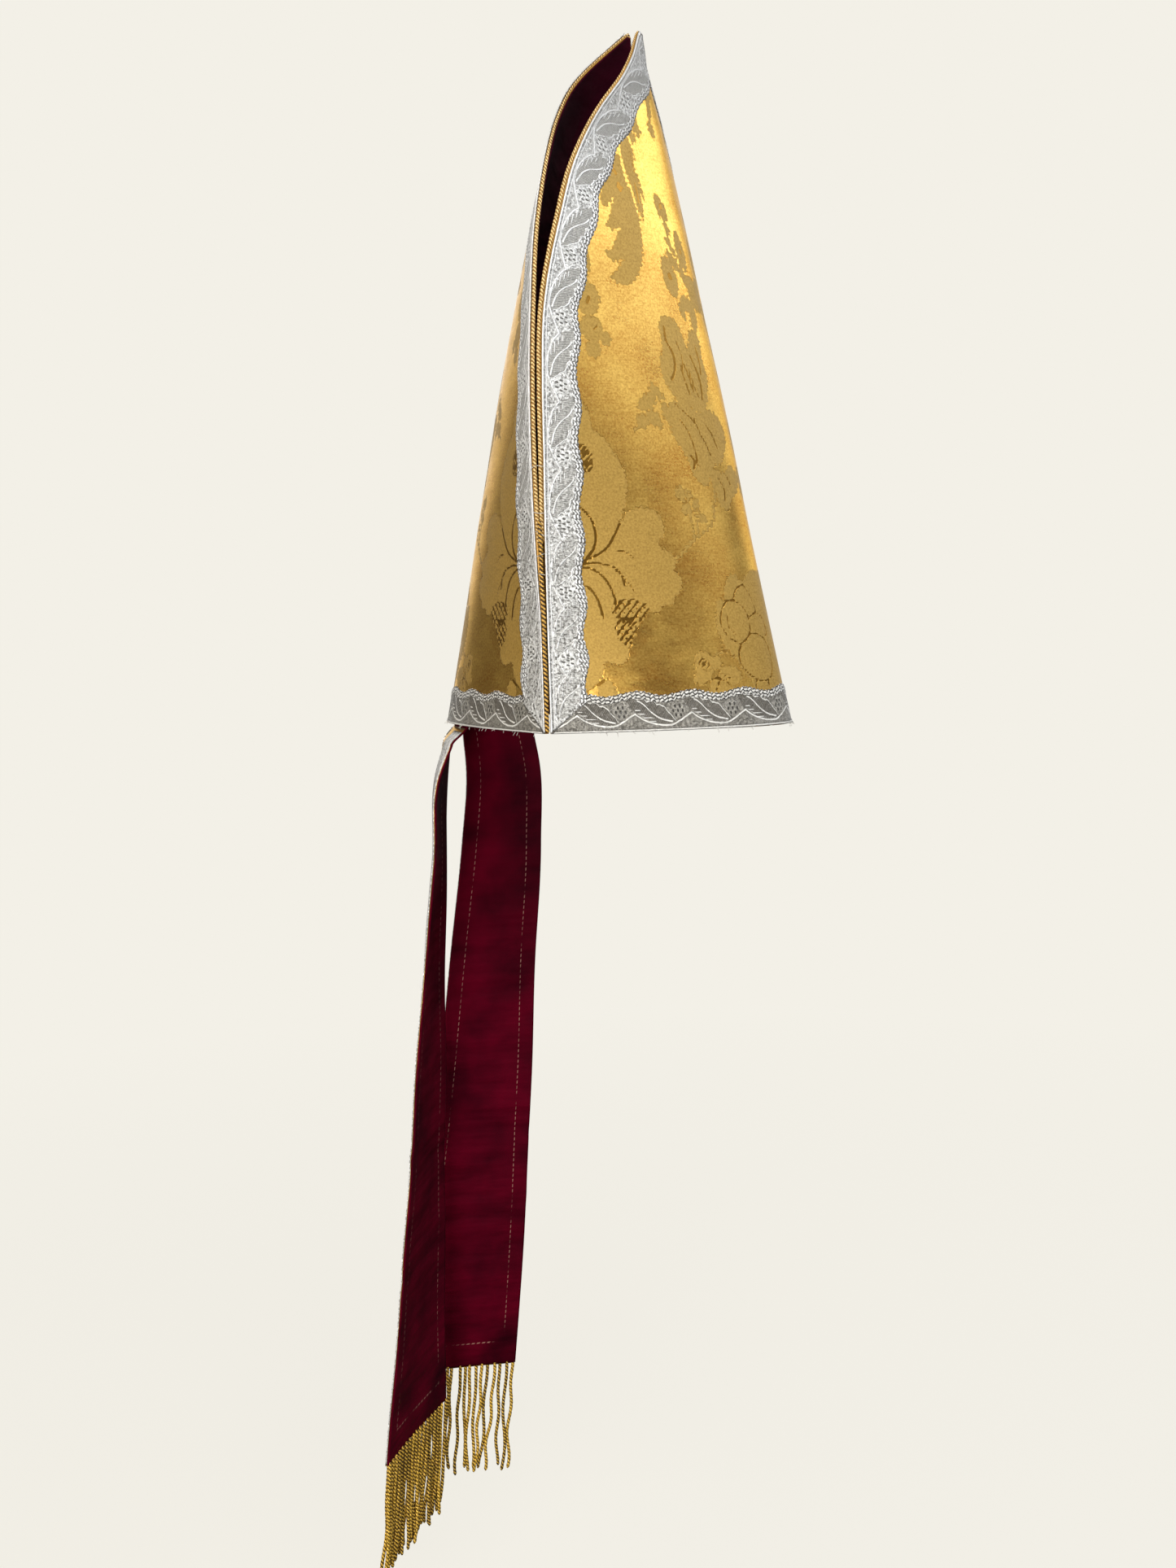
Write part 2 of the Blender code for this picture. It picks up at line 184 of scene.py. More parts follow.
@dataclass
class HornForm:
    """Both horns as smooth surfaces that are read by arc and height.

    The arc is the distance along the cloth from a horn's middle line, and lift is the distance off
    its outer face.
    """

    level_step: float = 1.0
    fine: int = 401
    shares: int = 161
    points: dict[Side, Points] = field(default_factory=dict)
    normals: dict[Side, Points] = field(default_factory=dict)

    def __post_init__(self) -> None:
        """Works out a fine grid of points and normals for each horn."""
        self.levels = np.arange(0.0, HEIGHT + self.level_step / 2, self.level_step)
        names = ("half_width", "bow", "power", "gape")
        width, bow, power, gape = (smooth_column(HORN, name, self.levels) for name in names)
        across = np.linspace(-1.0, 1.0, self.fine)
        even = np.linspace(-1.0, 1.0, self.shares)
        self.half_arcs = np.zeros(len(self.levels))
        for side in Side:
            edge = smooth_column(HORN, f"{side.name.lower()}_y", self.levels)
            grid = np.zeros((len(self.levels), self.shares, 3))
            for i, z in enumerate(self.levels):
                x = width[i] * across
                y = edge[i] + side.value * (bow[i] * (1.0 - np.abs(across) ** power[i]) - gape[i] * x)
                length = np.concatenate(([0.0], np.cumsum(np.hypot(np.diff(x), np.diff(y)))))
                self.half_arcs[i] = length[-1] / 2
                places = (even + 1.0) * length[-1] / 2
                spread = [np.interp(places, length, x), np.interp(places, length, y), 0 * even + z]
                grid[i] = np.stack(spread, 1)
            normal = unit(np.cross(np.gradient(grid, axis=1), np.gradient(grid, axis=0)))
            normal *= np.sign(normal[..., 1:2] * side.value)
            self.points[side], self.normals[side] = grid, normal

    def half_arc(self, z: Points) -> Points:
        """The arc from the middle line to the side edge at each height."""
        return np.interp(z, self.levels, self.half_arcs)

    def read(self, grid: Points, arc: Points, z: Points) -> Points:
        """Reads a grid of vectors between its lines."""
        share = np.clip(arc / self.half_arc(z), -1.0, 1.0)
        row = np.clip(z / self.level_step, 0, len(self.levels) - 1.001)
        column = np.clip((share + 1) / 2 * (self.shares - 1), 0, self.shares - 1.001)
        i, j = row.astype(int), column.astype(int)
        s, t = (row - i)[:, None], (column - j)[:, None]
        low = grid[i, j] * (1 - t) + grid[i, j + 1] * t
        high = grid[i + 1, j] * (1 - t) + grid[i + 1, j + 1] * t
        return low * (1 - s) + high * s

    def at(self, side: Side, arc: Points, z: Points, lift: Points | float = 0.0) -> Points:
        """Points off a horn's outer face.

        Args:
            side: Which horn.
            arc: Distances from the middle line.
            z: Heights.
            lift: Distances outwards.

        Returns:
            One point for each arc and height.
        """
        out = unit(self.read(self.normals[side], arc, z))
        return self.read(self.points[side], arc, z) + out * np.broadcast_to(lift, arc.shape)[:, None]


@dataclass
class LappetForm:
    """One lappet as a smooth strip that is read by share of its width and drop below the rim."""

    hand: Hand
    horns: HornForm
    top_width: float = 47.0
    foot_width: float = 75.0
    tuck: float = 12.0
    tuck_lift: float = -4.3
    inner_edge: float = 2.5
    outer_extra_drop: float = 8.0
    calm_drop: float = 60.0

    @property
    def table(self) -> tuple[LappetRow, ...]:
        """The rows of this lappet."""
        return LAPPETS[self.hand]

    @property
    def foot(self) -> float:
        """The drop of the foot below the rim."""
        return self.table[-1].drop

    def half_width(self, drop: Points) -> Points:
        """Half the lappet's width at each drop."""
        return (self.top_width + (self.foot_width - self.top_width) * np.maximum(drop, 0) / self.foot) / 2

    def ripple(self, share: Points, drop: Points) -> Points:
        """The soft waves and creases of the hanging cloth, which die out at the rim."""
        height = np.zeros(share.shape)
        for wave in WAVES:
            turn = drop / wave.reach + wave.slant * share + wave.shift * self.hand.value
            height += wave.height * np.sin(turn)
        for crease in CREASES:
            away = (drop - crease.drop - crease.slant * share) / crease.spread
            height += crease.height * np.exp(-(away**2))
        return height * np.clip(drop / self.calm_drop, 0, 1)

    def at(self, share: Points, drop: Points, lift: Points | float = 0.0) -> Points:
        """Points off the lappet's outer face.

        Args:
            share: Places across, -1 to 1 towards +X.
            drop: Distances below the rim, negative where the lappet is tucked inside it.
            lift: Distances outwards, to the back of the mitre.

        Returns:
            One point for each share and drop.
        """
        half = self.half_width(drop)
        arc = self.hand.value * (self.top_width / 2 + self.inner_edge) + share * half
        sewn = self.horns.at(Side.BACK, arc, np.maximum(-drop, 0), self.tuck_lift)
        level = np.maximum(drop, self.table[0].drop)
        turn = np.radians(smooth_column(self.table, "turn", level))
        out = np.stack([-np.sin(turn), np.cos(turn), 0 * turn], 1)
        bow = smooth_column(self.table, "bow", level) * (1 - share * share) + self.ripple(share, drop)
        hung = np.stack(
            [
                smooth_column(self.table, "x", level) + np.cos(turn) * half * share,
                smooth_column(self.table, "y", level) + np.sin(turn) * half * share,
                -drop - self.outer_extra_drop * drop / self.foot * (1 + share * self.hand.value) / 2,
            ],
            1,
        )
        hung += out * bow[:, None]
        blend = np.clip(drop / self.table[0].drop, 0, 1)[:, None]
        blend = blend * blend * (3 - 2 * blend)
        sewn[:, 2] = np.where(drop > 0, hung[:, 2], sewn[:, 2])
        facing = self.horns.read(self.horns.normals[Side.BACK], arc, np.zeros_like(arc))
        out = unit(facing * (1 - blend) + out * blend)
        return sewn * (1 - blend) + hung * blend + out * np.broadcast_to(lift, share.shape)[:, None]


# ------------------------------------------------------------------------------- making meshes
def show(name: str, data: bpy.types.ID) -> bpy.types.Object:
    """A new object with this data, in the scene."""
    thing = bpy.data.objects.new(name, data)
    bpy.context.scene.collection.objects.link(thing)
    return thing


class Twist(NamedTuple):
    """How a cord is laid and drawn.

    The lay is the length in which a strand goes once round, the depth is that of the grooves between
    strands as a share of the radius, and the cells are how many go round and how long each is.
    """

    around: int
    step: float
    strands: int = 0
    lay: float = 6.0
    depth: float = 0.16


PIPING_TWIST = Twist(around=10, step=0.9, strands=3, lay=7.0)
SEAM_TWIST = Twist(around=14, step=0.5, strands=2, lay=5.0, depth=0.34)
BULLION_TWIST = Twist(around=8, step=1.2, strands=2, lay=9.0, depth=0.22)
LOOSE_THREAD = Twist(around=4, step=0.7)


@dataclass
class Workroom:
    """Makes pieces from flat grids that are bent into place, and hangs them on the body's empty."""

    body: str = "root"

    def loft(
        self,
        name: str,
        cells: tuple[int, int],
        place: Callable[[Points, Points], Placed],
        round_: bool = False,
    ) -> bpy.types.Object:
        """Bends a flat grid into a piece.

        Args:
            name: The piece's name.
            cells: Cells across and along.
            place: Takes each vertex's place across and along, 0 to 1, and gives arrays: xyz and uv
                in millimetres, out where the first face should look, and any further attribute.
            round_: True where the grid closes on itself across, as a cord does.

        Returns:
            The piece, in the scene and riding on the body.
        """
        form = bmesh.new()
        bmesh.ops.create_grid(form, x_segments=cells[0], y_segments=cells[1], size=0.5)
        mesh = bpy.data.meshes.new(name)
        form.to_mesh(mesh)
        form.free()
        flat = np.zeros(len(mesh.vertices) * 3)
        mesh.vertices.foreach_get("co", flat)
        flat = flat.reshape(-1, 3)
        placed = place(flat[:, 0] + 0.5, flat[:, 1] + 0.5)
        mesh.vertices.foreach_set("co", (placed.pop("xyz") * MM).astype(np.float32).ravel())
        corner = np.zeros(len(mesh.loops), int)
        mesh.loops.foreach_get("vertex_index", corner)
        uv = mesh.uv_layers.new(name="cloth")
        uv.data.foreach_set("uv", placed.pop("uv")[corner].astype(np.float32).ravel())
        out = placed.pop("out", None)
        for key, values in placed.items():
            mesh.attributes.new(key, "FLOAT", "POINT").data.foreach_set("value", values.astype(np.float32))
        mesh.update()
        form = bmesh.new()
        form.from_mesh(mesh)
        if round_:
            bmesh.ops.remove_doubles(form, verts=form.verts, dist=1e-6)
            bmesh.ops.holes_fill(form, edges=form.edges, sides=0)
            bmesh.ops.recalc_face_normals(form, faces=form.faces)
        elif out is not None:
            form.faces.ensure_lookup_table()
            middle = form.faces[len(form.faces) // 2]
            if middle.normal.dot(Vector(out)) < 0:
                bmesh.ops.reverse_faces(form, faces=form.faces)
        form.to_mesh(mesh)
        form.free()
        mesh.shade_smooth()
        piece = show(name, mesh)
        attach(piece, self.body)
        return piece

    def cord(
        self, name: str, path: Points, radius: Points | float, twist: Twist, tone: float = 0.5
    ) -> bpy.types.Object:
        """Makes a round cord along a path, with its strands laid in a helix.

        Args:
            name: The piece's name.
            path: Points that the cord's middle passes through.
            radius: The cord's radius, or its radius at each point of the path.
            twist: How the cord is laid and drawn.
            tone: How bright the cord is among its neighbours, 0 to 1.

        Returns:
            The piece.
        """
        steps = np.concatenate(([0.0], np.cumsum(np.linalg.norm(np.diff(path, axis=0), axis=1))))
        look = 0.6  # how far ahead and behind the path's direction is taken
        aside = (0.35, 0.9, 0.26)  # a direction that no cord here follows

        def spot(along: Points) -> Points:
            """Points of the path at these lengths."""
            return np.stack([np.interp(along, steps, path[:, k]) for k in range(3)], 1)

        def place(p: Points, q: Points) -> Placed:
            """Winds the grid round the path."""
            along = q * steps[-1]
            middle = spot(along)
            tangent = unit(spot(along + look) - spot(along - look))
            first = unit(np.cross(tangent, np.array(aside)))
            second = np.cross(tangent, first)
            angle = 2 * np.pi * p
            wound = twist.strands * (angle - 2 * np.pi * along / twist.lay) / 2
            groove = np.abs(np.sin(wound)) ** 0.7 if twist.strands else 1.0
            thick = np.interp(along, steps, np.broadcast_to(radius, steps.shape))
            ends = np.sqrt(np.clip(np.minimum(along, steps[-1] - along) / thick + 0.25, 0.25, 1.0))
            r = thick * (1 - twist.depth + twist.depth * groove) * ends
            ring = first * (np.cos(angle) * r)[:, None] + second * (np.sin(angle) * r)[:, None]
            return {"xyz": middle + ring, "uv": np.stack([angle * thick, along], 1), "tone": tone + 0 * p}

        return self.loft(name, (twist.around, max(2, round(steps[-1] / twist.step))), place, round_=True)

    def join(self, name: str, parts: list[bpy.types.Object]) -> bpy.types.Object:
        """Joins parts into one piece.

        Args:
            name: The piece's name.
            parts: The parts, which are used up.

        Returns:
            The piece.
        """
        form = bmesh.new()
        for part in parts:
            form.from_mesh(part.data)
        mesh = bpy.data.meshes.new(name)
        form.to_mesh(mesh)
        form.free()
        mesh.shade_smooth()
        for part in parts:
            bpy.data.objects.remove(part, do_unlink=True)
        piece = show(name, mesh)
        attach(piece, self.body)
        return piece

    def finish(
        self, piece: bpy.types.Object, finish: bpy.types.Material, part: str, wall: float = 0.0
    ) -> bpy.types.Object:
        """Gives a piece its finish and says which solid it takes the place of.

        Args:
            piece: The piece.
            finish: Its material.
            part: The solid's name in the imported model.
            wall: A sheet's wall, inwards from the face that was made, or 0 for a piece that has one.

        Returns:
            The piece.
        """
        if wall:
            modifier = piece.modifiers.new("wall", "SOLIDIFY")
            modifier.thickness = wall * MM
            modifier.offset = -1.0
        piece.data.materials.append(finish)
        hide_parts(part)
        LOG.info("%s: %d faces", piece.name, len(piece.data.polygons))
        return piece


# ------------------------------------------------------------------------------------ finishes
def colour(text: str) -> tuple[float, float, float, float]:
    """The linear colour of an sRGB hex value."""
    values = [int(text[i : i + 2], 16) / 255 for i in (0, 2, 4)]
    return (*[v / 12.92 if v <= 0.04045 else ((v + 0.055) / 1.055) ** 2.4 for v in values], 1.0)


class Signal:
    """A value in a material that can be reckoned with like a number."""

    def __init__(self, paint: "Paint", socket: bpy.types.NodeSocket) -> None:
        """Wraps an output socket of a paint's tree."""
        self.paint, self.socket = paint, socket

    def __add__(self, other: "Signal | float") -> "Signal":
        """The sum."""
        return self.paint.node("Math:ADD", self, other)

    __radd__ = __add__

    def __sub__(self, other: "Signal | float") -> "Signal":
        """The difference."""
        return self.paint.node("Math:SUBTRACT", self, other)

    def __rsub__(self, other: float) -> "Signal":
        """The difference from a number."""
        return self.paint.node("Math:SUBTRACT", other, self)

    def __mul__(self, other: "Signal | float") -> "Signal":
        """The product."""
        return self.paint.node("Math:MULTIPLY", self, other)

    __rmul__ = __mul__

    def __truediv__(self, other: "Signal | float") -> "Signal":
        """The quotient."""
        return self.paint.node("Math:DIVIDE", self, other)

    def __abs__(self) -> "Signal":
        """The size without the sign."""
        return self.paint.node("Math:ABSOLUTE", self)

    def within(self, limit: "Signal | float", soft: float = 0.15) -> "Signal":
        """1 where the value is under a limit, falling to 0 over a soft edge."""
        room = self.paint.node("Math:SUBTRACT", limit, self)
        return self.paint.node("Math:MULTIPLY_ADD", room, 1 / soft, 0.5, use_clamp=True)


class Paint:
    """A material under construction."""

    def __init__(self, name: str) -> None:
        """Starts a material with an empty Principled surface."""
        self.material = bpy.data.materials.new(name)
        self.material.use_nodes = True
        self.tree = self.material.node_tree
        self.shader = self.tree.nodes["Principled BSDF"]
        self.output = self.tree.nodes["Material Output"]

    def node(
        self, kind: str, *inputs: object, out: str = "", curve: tuple = (), **settings: object
    ) -> Signal:
        """Adds a node with its settings and links.

        Args:
            kind: The node's kind, with its operation after a colon.
            inputs: A signal, number, colour or None for each input, in order.
            out: The output to give back, by name, or nothing for the first.
            curve: Points of a curve node, as (place, value) with an optional True for a corner.
            settings: Node properties.

        Returns:
            The node's output.
        """
        name, _, operation = kind.partition(":")
        node = self.tree.nodes.new(f"ShaderNode{name}")
        if operation:
            node.operation = operation
        for key, value in settings.items():
            setattr(node, key, value)
        for socket, value in zip([s for s in node.inputs if s.enabled], inputs):
            if isinstance(value, Signal):
                self.tree.links.new(value.socket, socket)
            elif value is not None:
                socket.default_value = value
        if curve:
            line = node.mapping.curves[0]
            while len(line.points) < len(curve):
                line.points.new(0.5, 0.5)
            for point, knot in zip(line.points, curve):
                point.location = knot[:2]
                point.handle_type = "VECTOR" if len(knot) > 2 else "AUTO_CLAMPED"
            node.mapping.update()
        return Signal(self, node.outputs[out] if out else next(s for s in node.outputs if s.enabled))

    def cloth(self) -> tuple[Signal, Signal, Signal]:
        """The cloth's UV in millimetres, and its part across and its part along."""
        uv = self.node("UVMap", uv_map="cloth")
        return uv, self.node("SeparateXYZ", uv, out="X"), self.node("SeparateXYZ", uv, out="Y")

    def stored(self, name: str) -> Signal:
        """A value that was stored on the mesh."""
        return self.node("Attribute", attribute_name=name, out="Fac")

    def noise(self, at: Signal, scale: float, *detail: float) -> Signal:
        """Soft noise over the cloth, about 0.5, with scale cells to a millimetre."""
        return self.node("TexNoise", at, scale, *detail, noise_dimensions="2D")

    def squares(self, at: Signal, size: float) -> Signal:
        """A random value for each square of the cloth, with its size in millimetres."""
        square = self.node("VectorMath:SNAP", at, (size,) * 3)
        return self.node("TexWhiteNoise", square, noise_dimensions="2D")

    def wave(self, at: Signal, length: float, shape: str = "SINE") -> Signal:
        """A wave along a signal, from -1 to 1, with its length in the signal's own units."""
        return self.node(f"Math:{shape}", at * (2 * math.pi / length))

    def either(self, *signals: Signal) -> Signal:
        """The greatest of some signals."""
        most = signals[0]
        for signal in signals[1:]:
            most = self.node("Math:MAXIMUM", most, signal)
        return most

    def blend(self, factor: Signal | float, under: object, over: object) -> Signal:
        """Lays one colour over another by a factor."""
        node = self.tree.nodes.new("ShaderNodeMix")
        node.data_type = "RGBA"
        for socket, value in ((node.inputs[0], factor), (node.inputs[6], under), (node.inputs[7], over)):
            if isinstance(value, Signal):
                self.tree.links.new(value.socket, socket)
            else:
                socket.default_value = value
        return Signal(self, node.outputs[2])

    def surface(self, **values: object) -> None:
        """Sets the surface's inputs, named with underscores for spaces, to values or signals."""
        for key, value in values.items():
            socket = self.shader.inputs[key.replace("_", " ").title().replace("Ior", "IOR")]
            if isinstance(value, Signal):
                self.tree.links.new(value.socket, socket)
            else:
                socket.default_value = value

    def relief(self, height: Signal, depth: float, strength: float = 1.0) -> None:
        """Raises the surface by a height signal, whose value 1 stands depth millimetres proud."""
        bump = self.tree.nodes.new("ShaderNodeBump")
        bump.inputs["Distance"].default_value = depth * MM
        bump.inputs["Strength"].default_value = strength
        self.tree.links.new(height.socket, bump.inputs["Height"])
        self.tree.links.new(bump.outputs[0], self.shader.inputs["Normal"])


@dataclass(frozen=True)
class SilkDamask:
    """Gold silk damask, woven in one colour.

    The ground is a satin of long warp floats, so its gloss is strong. The motifs are of weft floats,
    so their gloss is duller, and they look darker than the ground where it shines and lighter where it
    doesn't. Their edges step from thread to thread, and the cloth is gold even where it is seen edge-on.
    """

    ground: str = "EAC264"
    ground_deep: str = "B07830"
    motif: str = "AE8C46"
    motif_deep: str = "86682E"
    outline: str = "7E581C"
    edge_on: str = "F2E0B4"
    step_cell: float = 1.6
    step_across: float = 3.2
    step_up: float = 2.8
    fleck_cell: float = 0.8
    ground_rough: float = 0.305
    motif_rougher: float = 0.21
    ground_metal: float = 0.9
    motif_less_metal: float = 0.45

    def make(self) -> bpy.types.Material:
        """Builds the material.

        Returns:
            A material that reads the cloth's UV in millimetres and its motif and vein attributes.
        """
        paint = Paint("gold_silk_damask")
        uv, u, v = paint.cloth()
        ragged = paint.squares(uv, self.step_cell) - 0.5
        steps = paint.wave(u, self.step_across) + paint.wave(v, self.step_up)
        inside = paint.stored("motif") - ragged * 0.8 - steps * 0.36
        # bound darkens a thin line along each motif's edge in the outline colour, and the relief sinks it:
        # painted shade at the step between the two weaves.
        bound = abs(inside + 0.15).within(0.2, 0.2)
        cut = (ragged * 0.35 - paint.stored("vein")).within(0.0, 0.15)
        mask = (inside * -1.0).within(0.0, 0.1) * (1.0 - cut)
        bound = paint.either(bound * 0.55, cut * 0.85)
        slub = self.streaks(paint, uv, (0.08, 1.1, 1.0))
        fine = self.streaks(paint, uv, (0.15, 2.6, 1.0))
        cloud = paint.noise(uv, 0.03, 3.0)
        shimmer = paint.noise(paint.node("VectorMath:MULTIPLY", uv, (0.5, 1.3, 1.0)), 0.14, 4.0, 0.6)
        grain = paint.noise(uv, 0.8, 3.0)
        # Threads lie 0.1 mm apart; they are drawn as grains of 1 mm and streaks so that they show.
        fleck = paint.squares(uv, self.fleck_cell)
        tone = slub * 0.35 + cloud * 0.8 + fine * 0.3 + grain * 0.8 + fleck * 0.35 - 0.8
        ground = paint.blend(tone, colour(self.ground_deep), colour(self.ground))
        tone = grain * 1.3 + slub * 0.4 + fleck * 0.4 - 0.35
        weave = paint.blend(tone, colour(self.motif_deep), colour(self.motif))
        patchy = (grain - 0.5) * 0.04 + (cloud + shimmer - 1.0) * 0.15
        paint.surface(
            base_color=paint.blend(bound, paint.blend(mask, ground, weave), colour(self.outline)),
            roughness=mask * self.motif_rougher + self.ground_rough + patchy,
            metallic=self.ground_metal - mask * self.motif_less_metal,
            specular_ior_level=0.5,
            specular_tint=colour(self.edge_on),
            sheen_weight=0.04,
            sheen_roughness=0.4,
        )
        waves = (cloud + shimmer) * 0.8 + slub * 0.3
        paint.relief(waves + mask - bound * 1.5 + (fleck * 0.5 + grain) * mask * 0.8, 0.05, 0.7)
        return paint.material

    def streaks(self, paint: Paint, uv: Signal, scale: tuple[float, float, float]) -> Signal:
        """Level streaks where the silk's threads thicken and thin.

        Args:
            paint: The material.
            uv: The cloth's UV.
            scale: Streaks to a millimetre along and across.

        Returns:
            A value about 0.5.
        """
        return paint.noise(paint.node("VectorMath:MULTIPLY", uv, scale), 1.0, 3.0)


@dataclass(frozen=True)
class PlainSilk:
    """Plain gold satin, with which the horns' edges are turned: a soft gloss and fine ribs."""

    tone: str = "B98A34"
    deep: str = "9C7128"

    def make(self) -> bpy.types.Material:
        """Builds the material, which reads the cloth's UV in millimetres."""
        paint = Paint("gold_silk_satin")
        uv, _, _ = paint.cloth()
        grain = paint.noise(uv, 1.2, 2.0)
        paint.surface(
            base_color=paint.blend(grain, colour(self.deep), colour(self.tone)),
            roughness=0.45,
            metallic=0.3,
            specular_ior_level=0.5,
        )
        paint.relief(grain, 0.1, 0.5)
        return paint.material


class GalloonPlan(NamedTuple):
    """The repeat of the galloon, as heights off its straight edge in millimetres over one repeat."""

    swag: tuple
    leaf_top: tuple
    leaf_foot: tuple
    midrib: tuple


GALLOON_REACH = 25.0  # the height that 1 stands for in the repeat's curves
GALLOON = GalloonPlan(
    swag=(
        (0, 7.6), (0.115, 9.6, True), (0.2, 7.2), (0.3, 5.4), (0.5, 3.4), (0.68, 3.0), (0.86, 5.0),
        (1, 7.6),
    ),
    leaf_top=(
        (0, 17.2), (0.08, 18.4), (0.19, 17.6), (0.29, 17.6), (0.35, 15.9, True), (0.45, 16.3),
        (0.52, 14.3, True), (0.62, 13.4), (0.70, 9.9), (0.76, 7.4), (0.82, 5.0), (1, 5.0),
    ),
    leaf_foot=(
        (0, 17.2), (0.05, 14.6), (0.085, 12.0), (0.19, 10.2), (0.32, 6.6), (0.47, 4.9), (0.65, 4.2),
        (0.82, 5.0), (1, 5.0),
    ),
    midrib=(
        (0, 17.4), (0.21, 16.6), (0.3, 14.4), (0.39, 10.8), (0.47, 8.4), (0.56, 6.6), (0.66, 5.6),
        (0.75, 5.0), (1, 5.0),
    ),
)


class Ridge(NamedTuple):
    """A thick line of a braid: how far it lies from the braid's edge, its half width and its height."""

    inset: float
    half: float
    height: float


EDGE_CORD = Ridge(inset=0.75, half=0.8, height=0.42)
ROPED_BORDER = Ridge(inset=2.1, half=2.3, height=0.28)


@dataclass(frozen=True)
class Braid:
    """The galloon's outline: its repeat, its width, its scalloped inner edge and its cross-section."""

    period: float
    width: float = 20.5
    scallop: float = 1.3
    peak: float = 0.15
    nib: float = 0.8
    nibs: int = 12
    repeats_on: int = 100
    straight_fall: float = 0.3
    scalloped_fall: float = 0.5
    fall_depth: float = 0.35

    def reach(self, v: Points) -> Points:
        """The braid's width at each place along it."""
        turn = v / self.period
        wave = self.scallop * np.cos(2 * np.pi * (turn - self.peak))
        small = np.abs(np.sin(np.pi * turn * self.nibs + 0.5 * np.sin(v * 0.9)))
        return self.width + wave + self.nib * small

    def onwards(self, v: Points) -> Points:
        """The same places so many repeats on that none is negative."""
        return v + self.repeats_on * self.period

    def relief(self, u: Points, reach: Points) -> Points:
        """How far the thick lines stand off the braid's ground."""
        cord, rope = EDGE_CORD, ROPED_BORDER
        raised = cord.height * np.sqrt(np.clip(1 - ((u - cord.inset) / cord.half) ** 2, 0, 1))
        away = np.abs(reach - u - rope.inset) / rope.half
        raised += rope.height * np.sqrt(np.clip(1 - away, 0, 1))
        straight = np.clip(1 - u / self.straight_fall, 0, 1)
        scalloped = np.clip(1 - (reach - u) / self.scalloped_fall, 0, 1)
        return raised - self.fall_depth * (straight + scalloped)


class GalloonTones(NamedTuple):
    """How bright the galloon's metal thread looks, from its pits to its raised lines."""

    pit: str
    low: str
    high: str
    hatch_low: str
    hatch_high: str
    bright: str


# The level tones are darker than the upright ones for the same galloon: painted shade on the strips that
# lie level and painted sheen on those that stand upright.
LEVEL_TONES = GalloonTones("3A3731", "5E5A52", "A09C91", "4A463E", "7C776D", "E2DFD7")
UPRIGHT_TONES = GalloonTones("605E58", "84827C", "F4F3EF", "7C7A74", "BEBCB5", "F6F5F2")


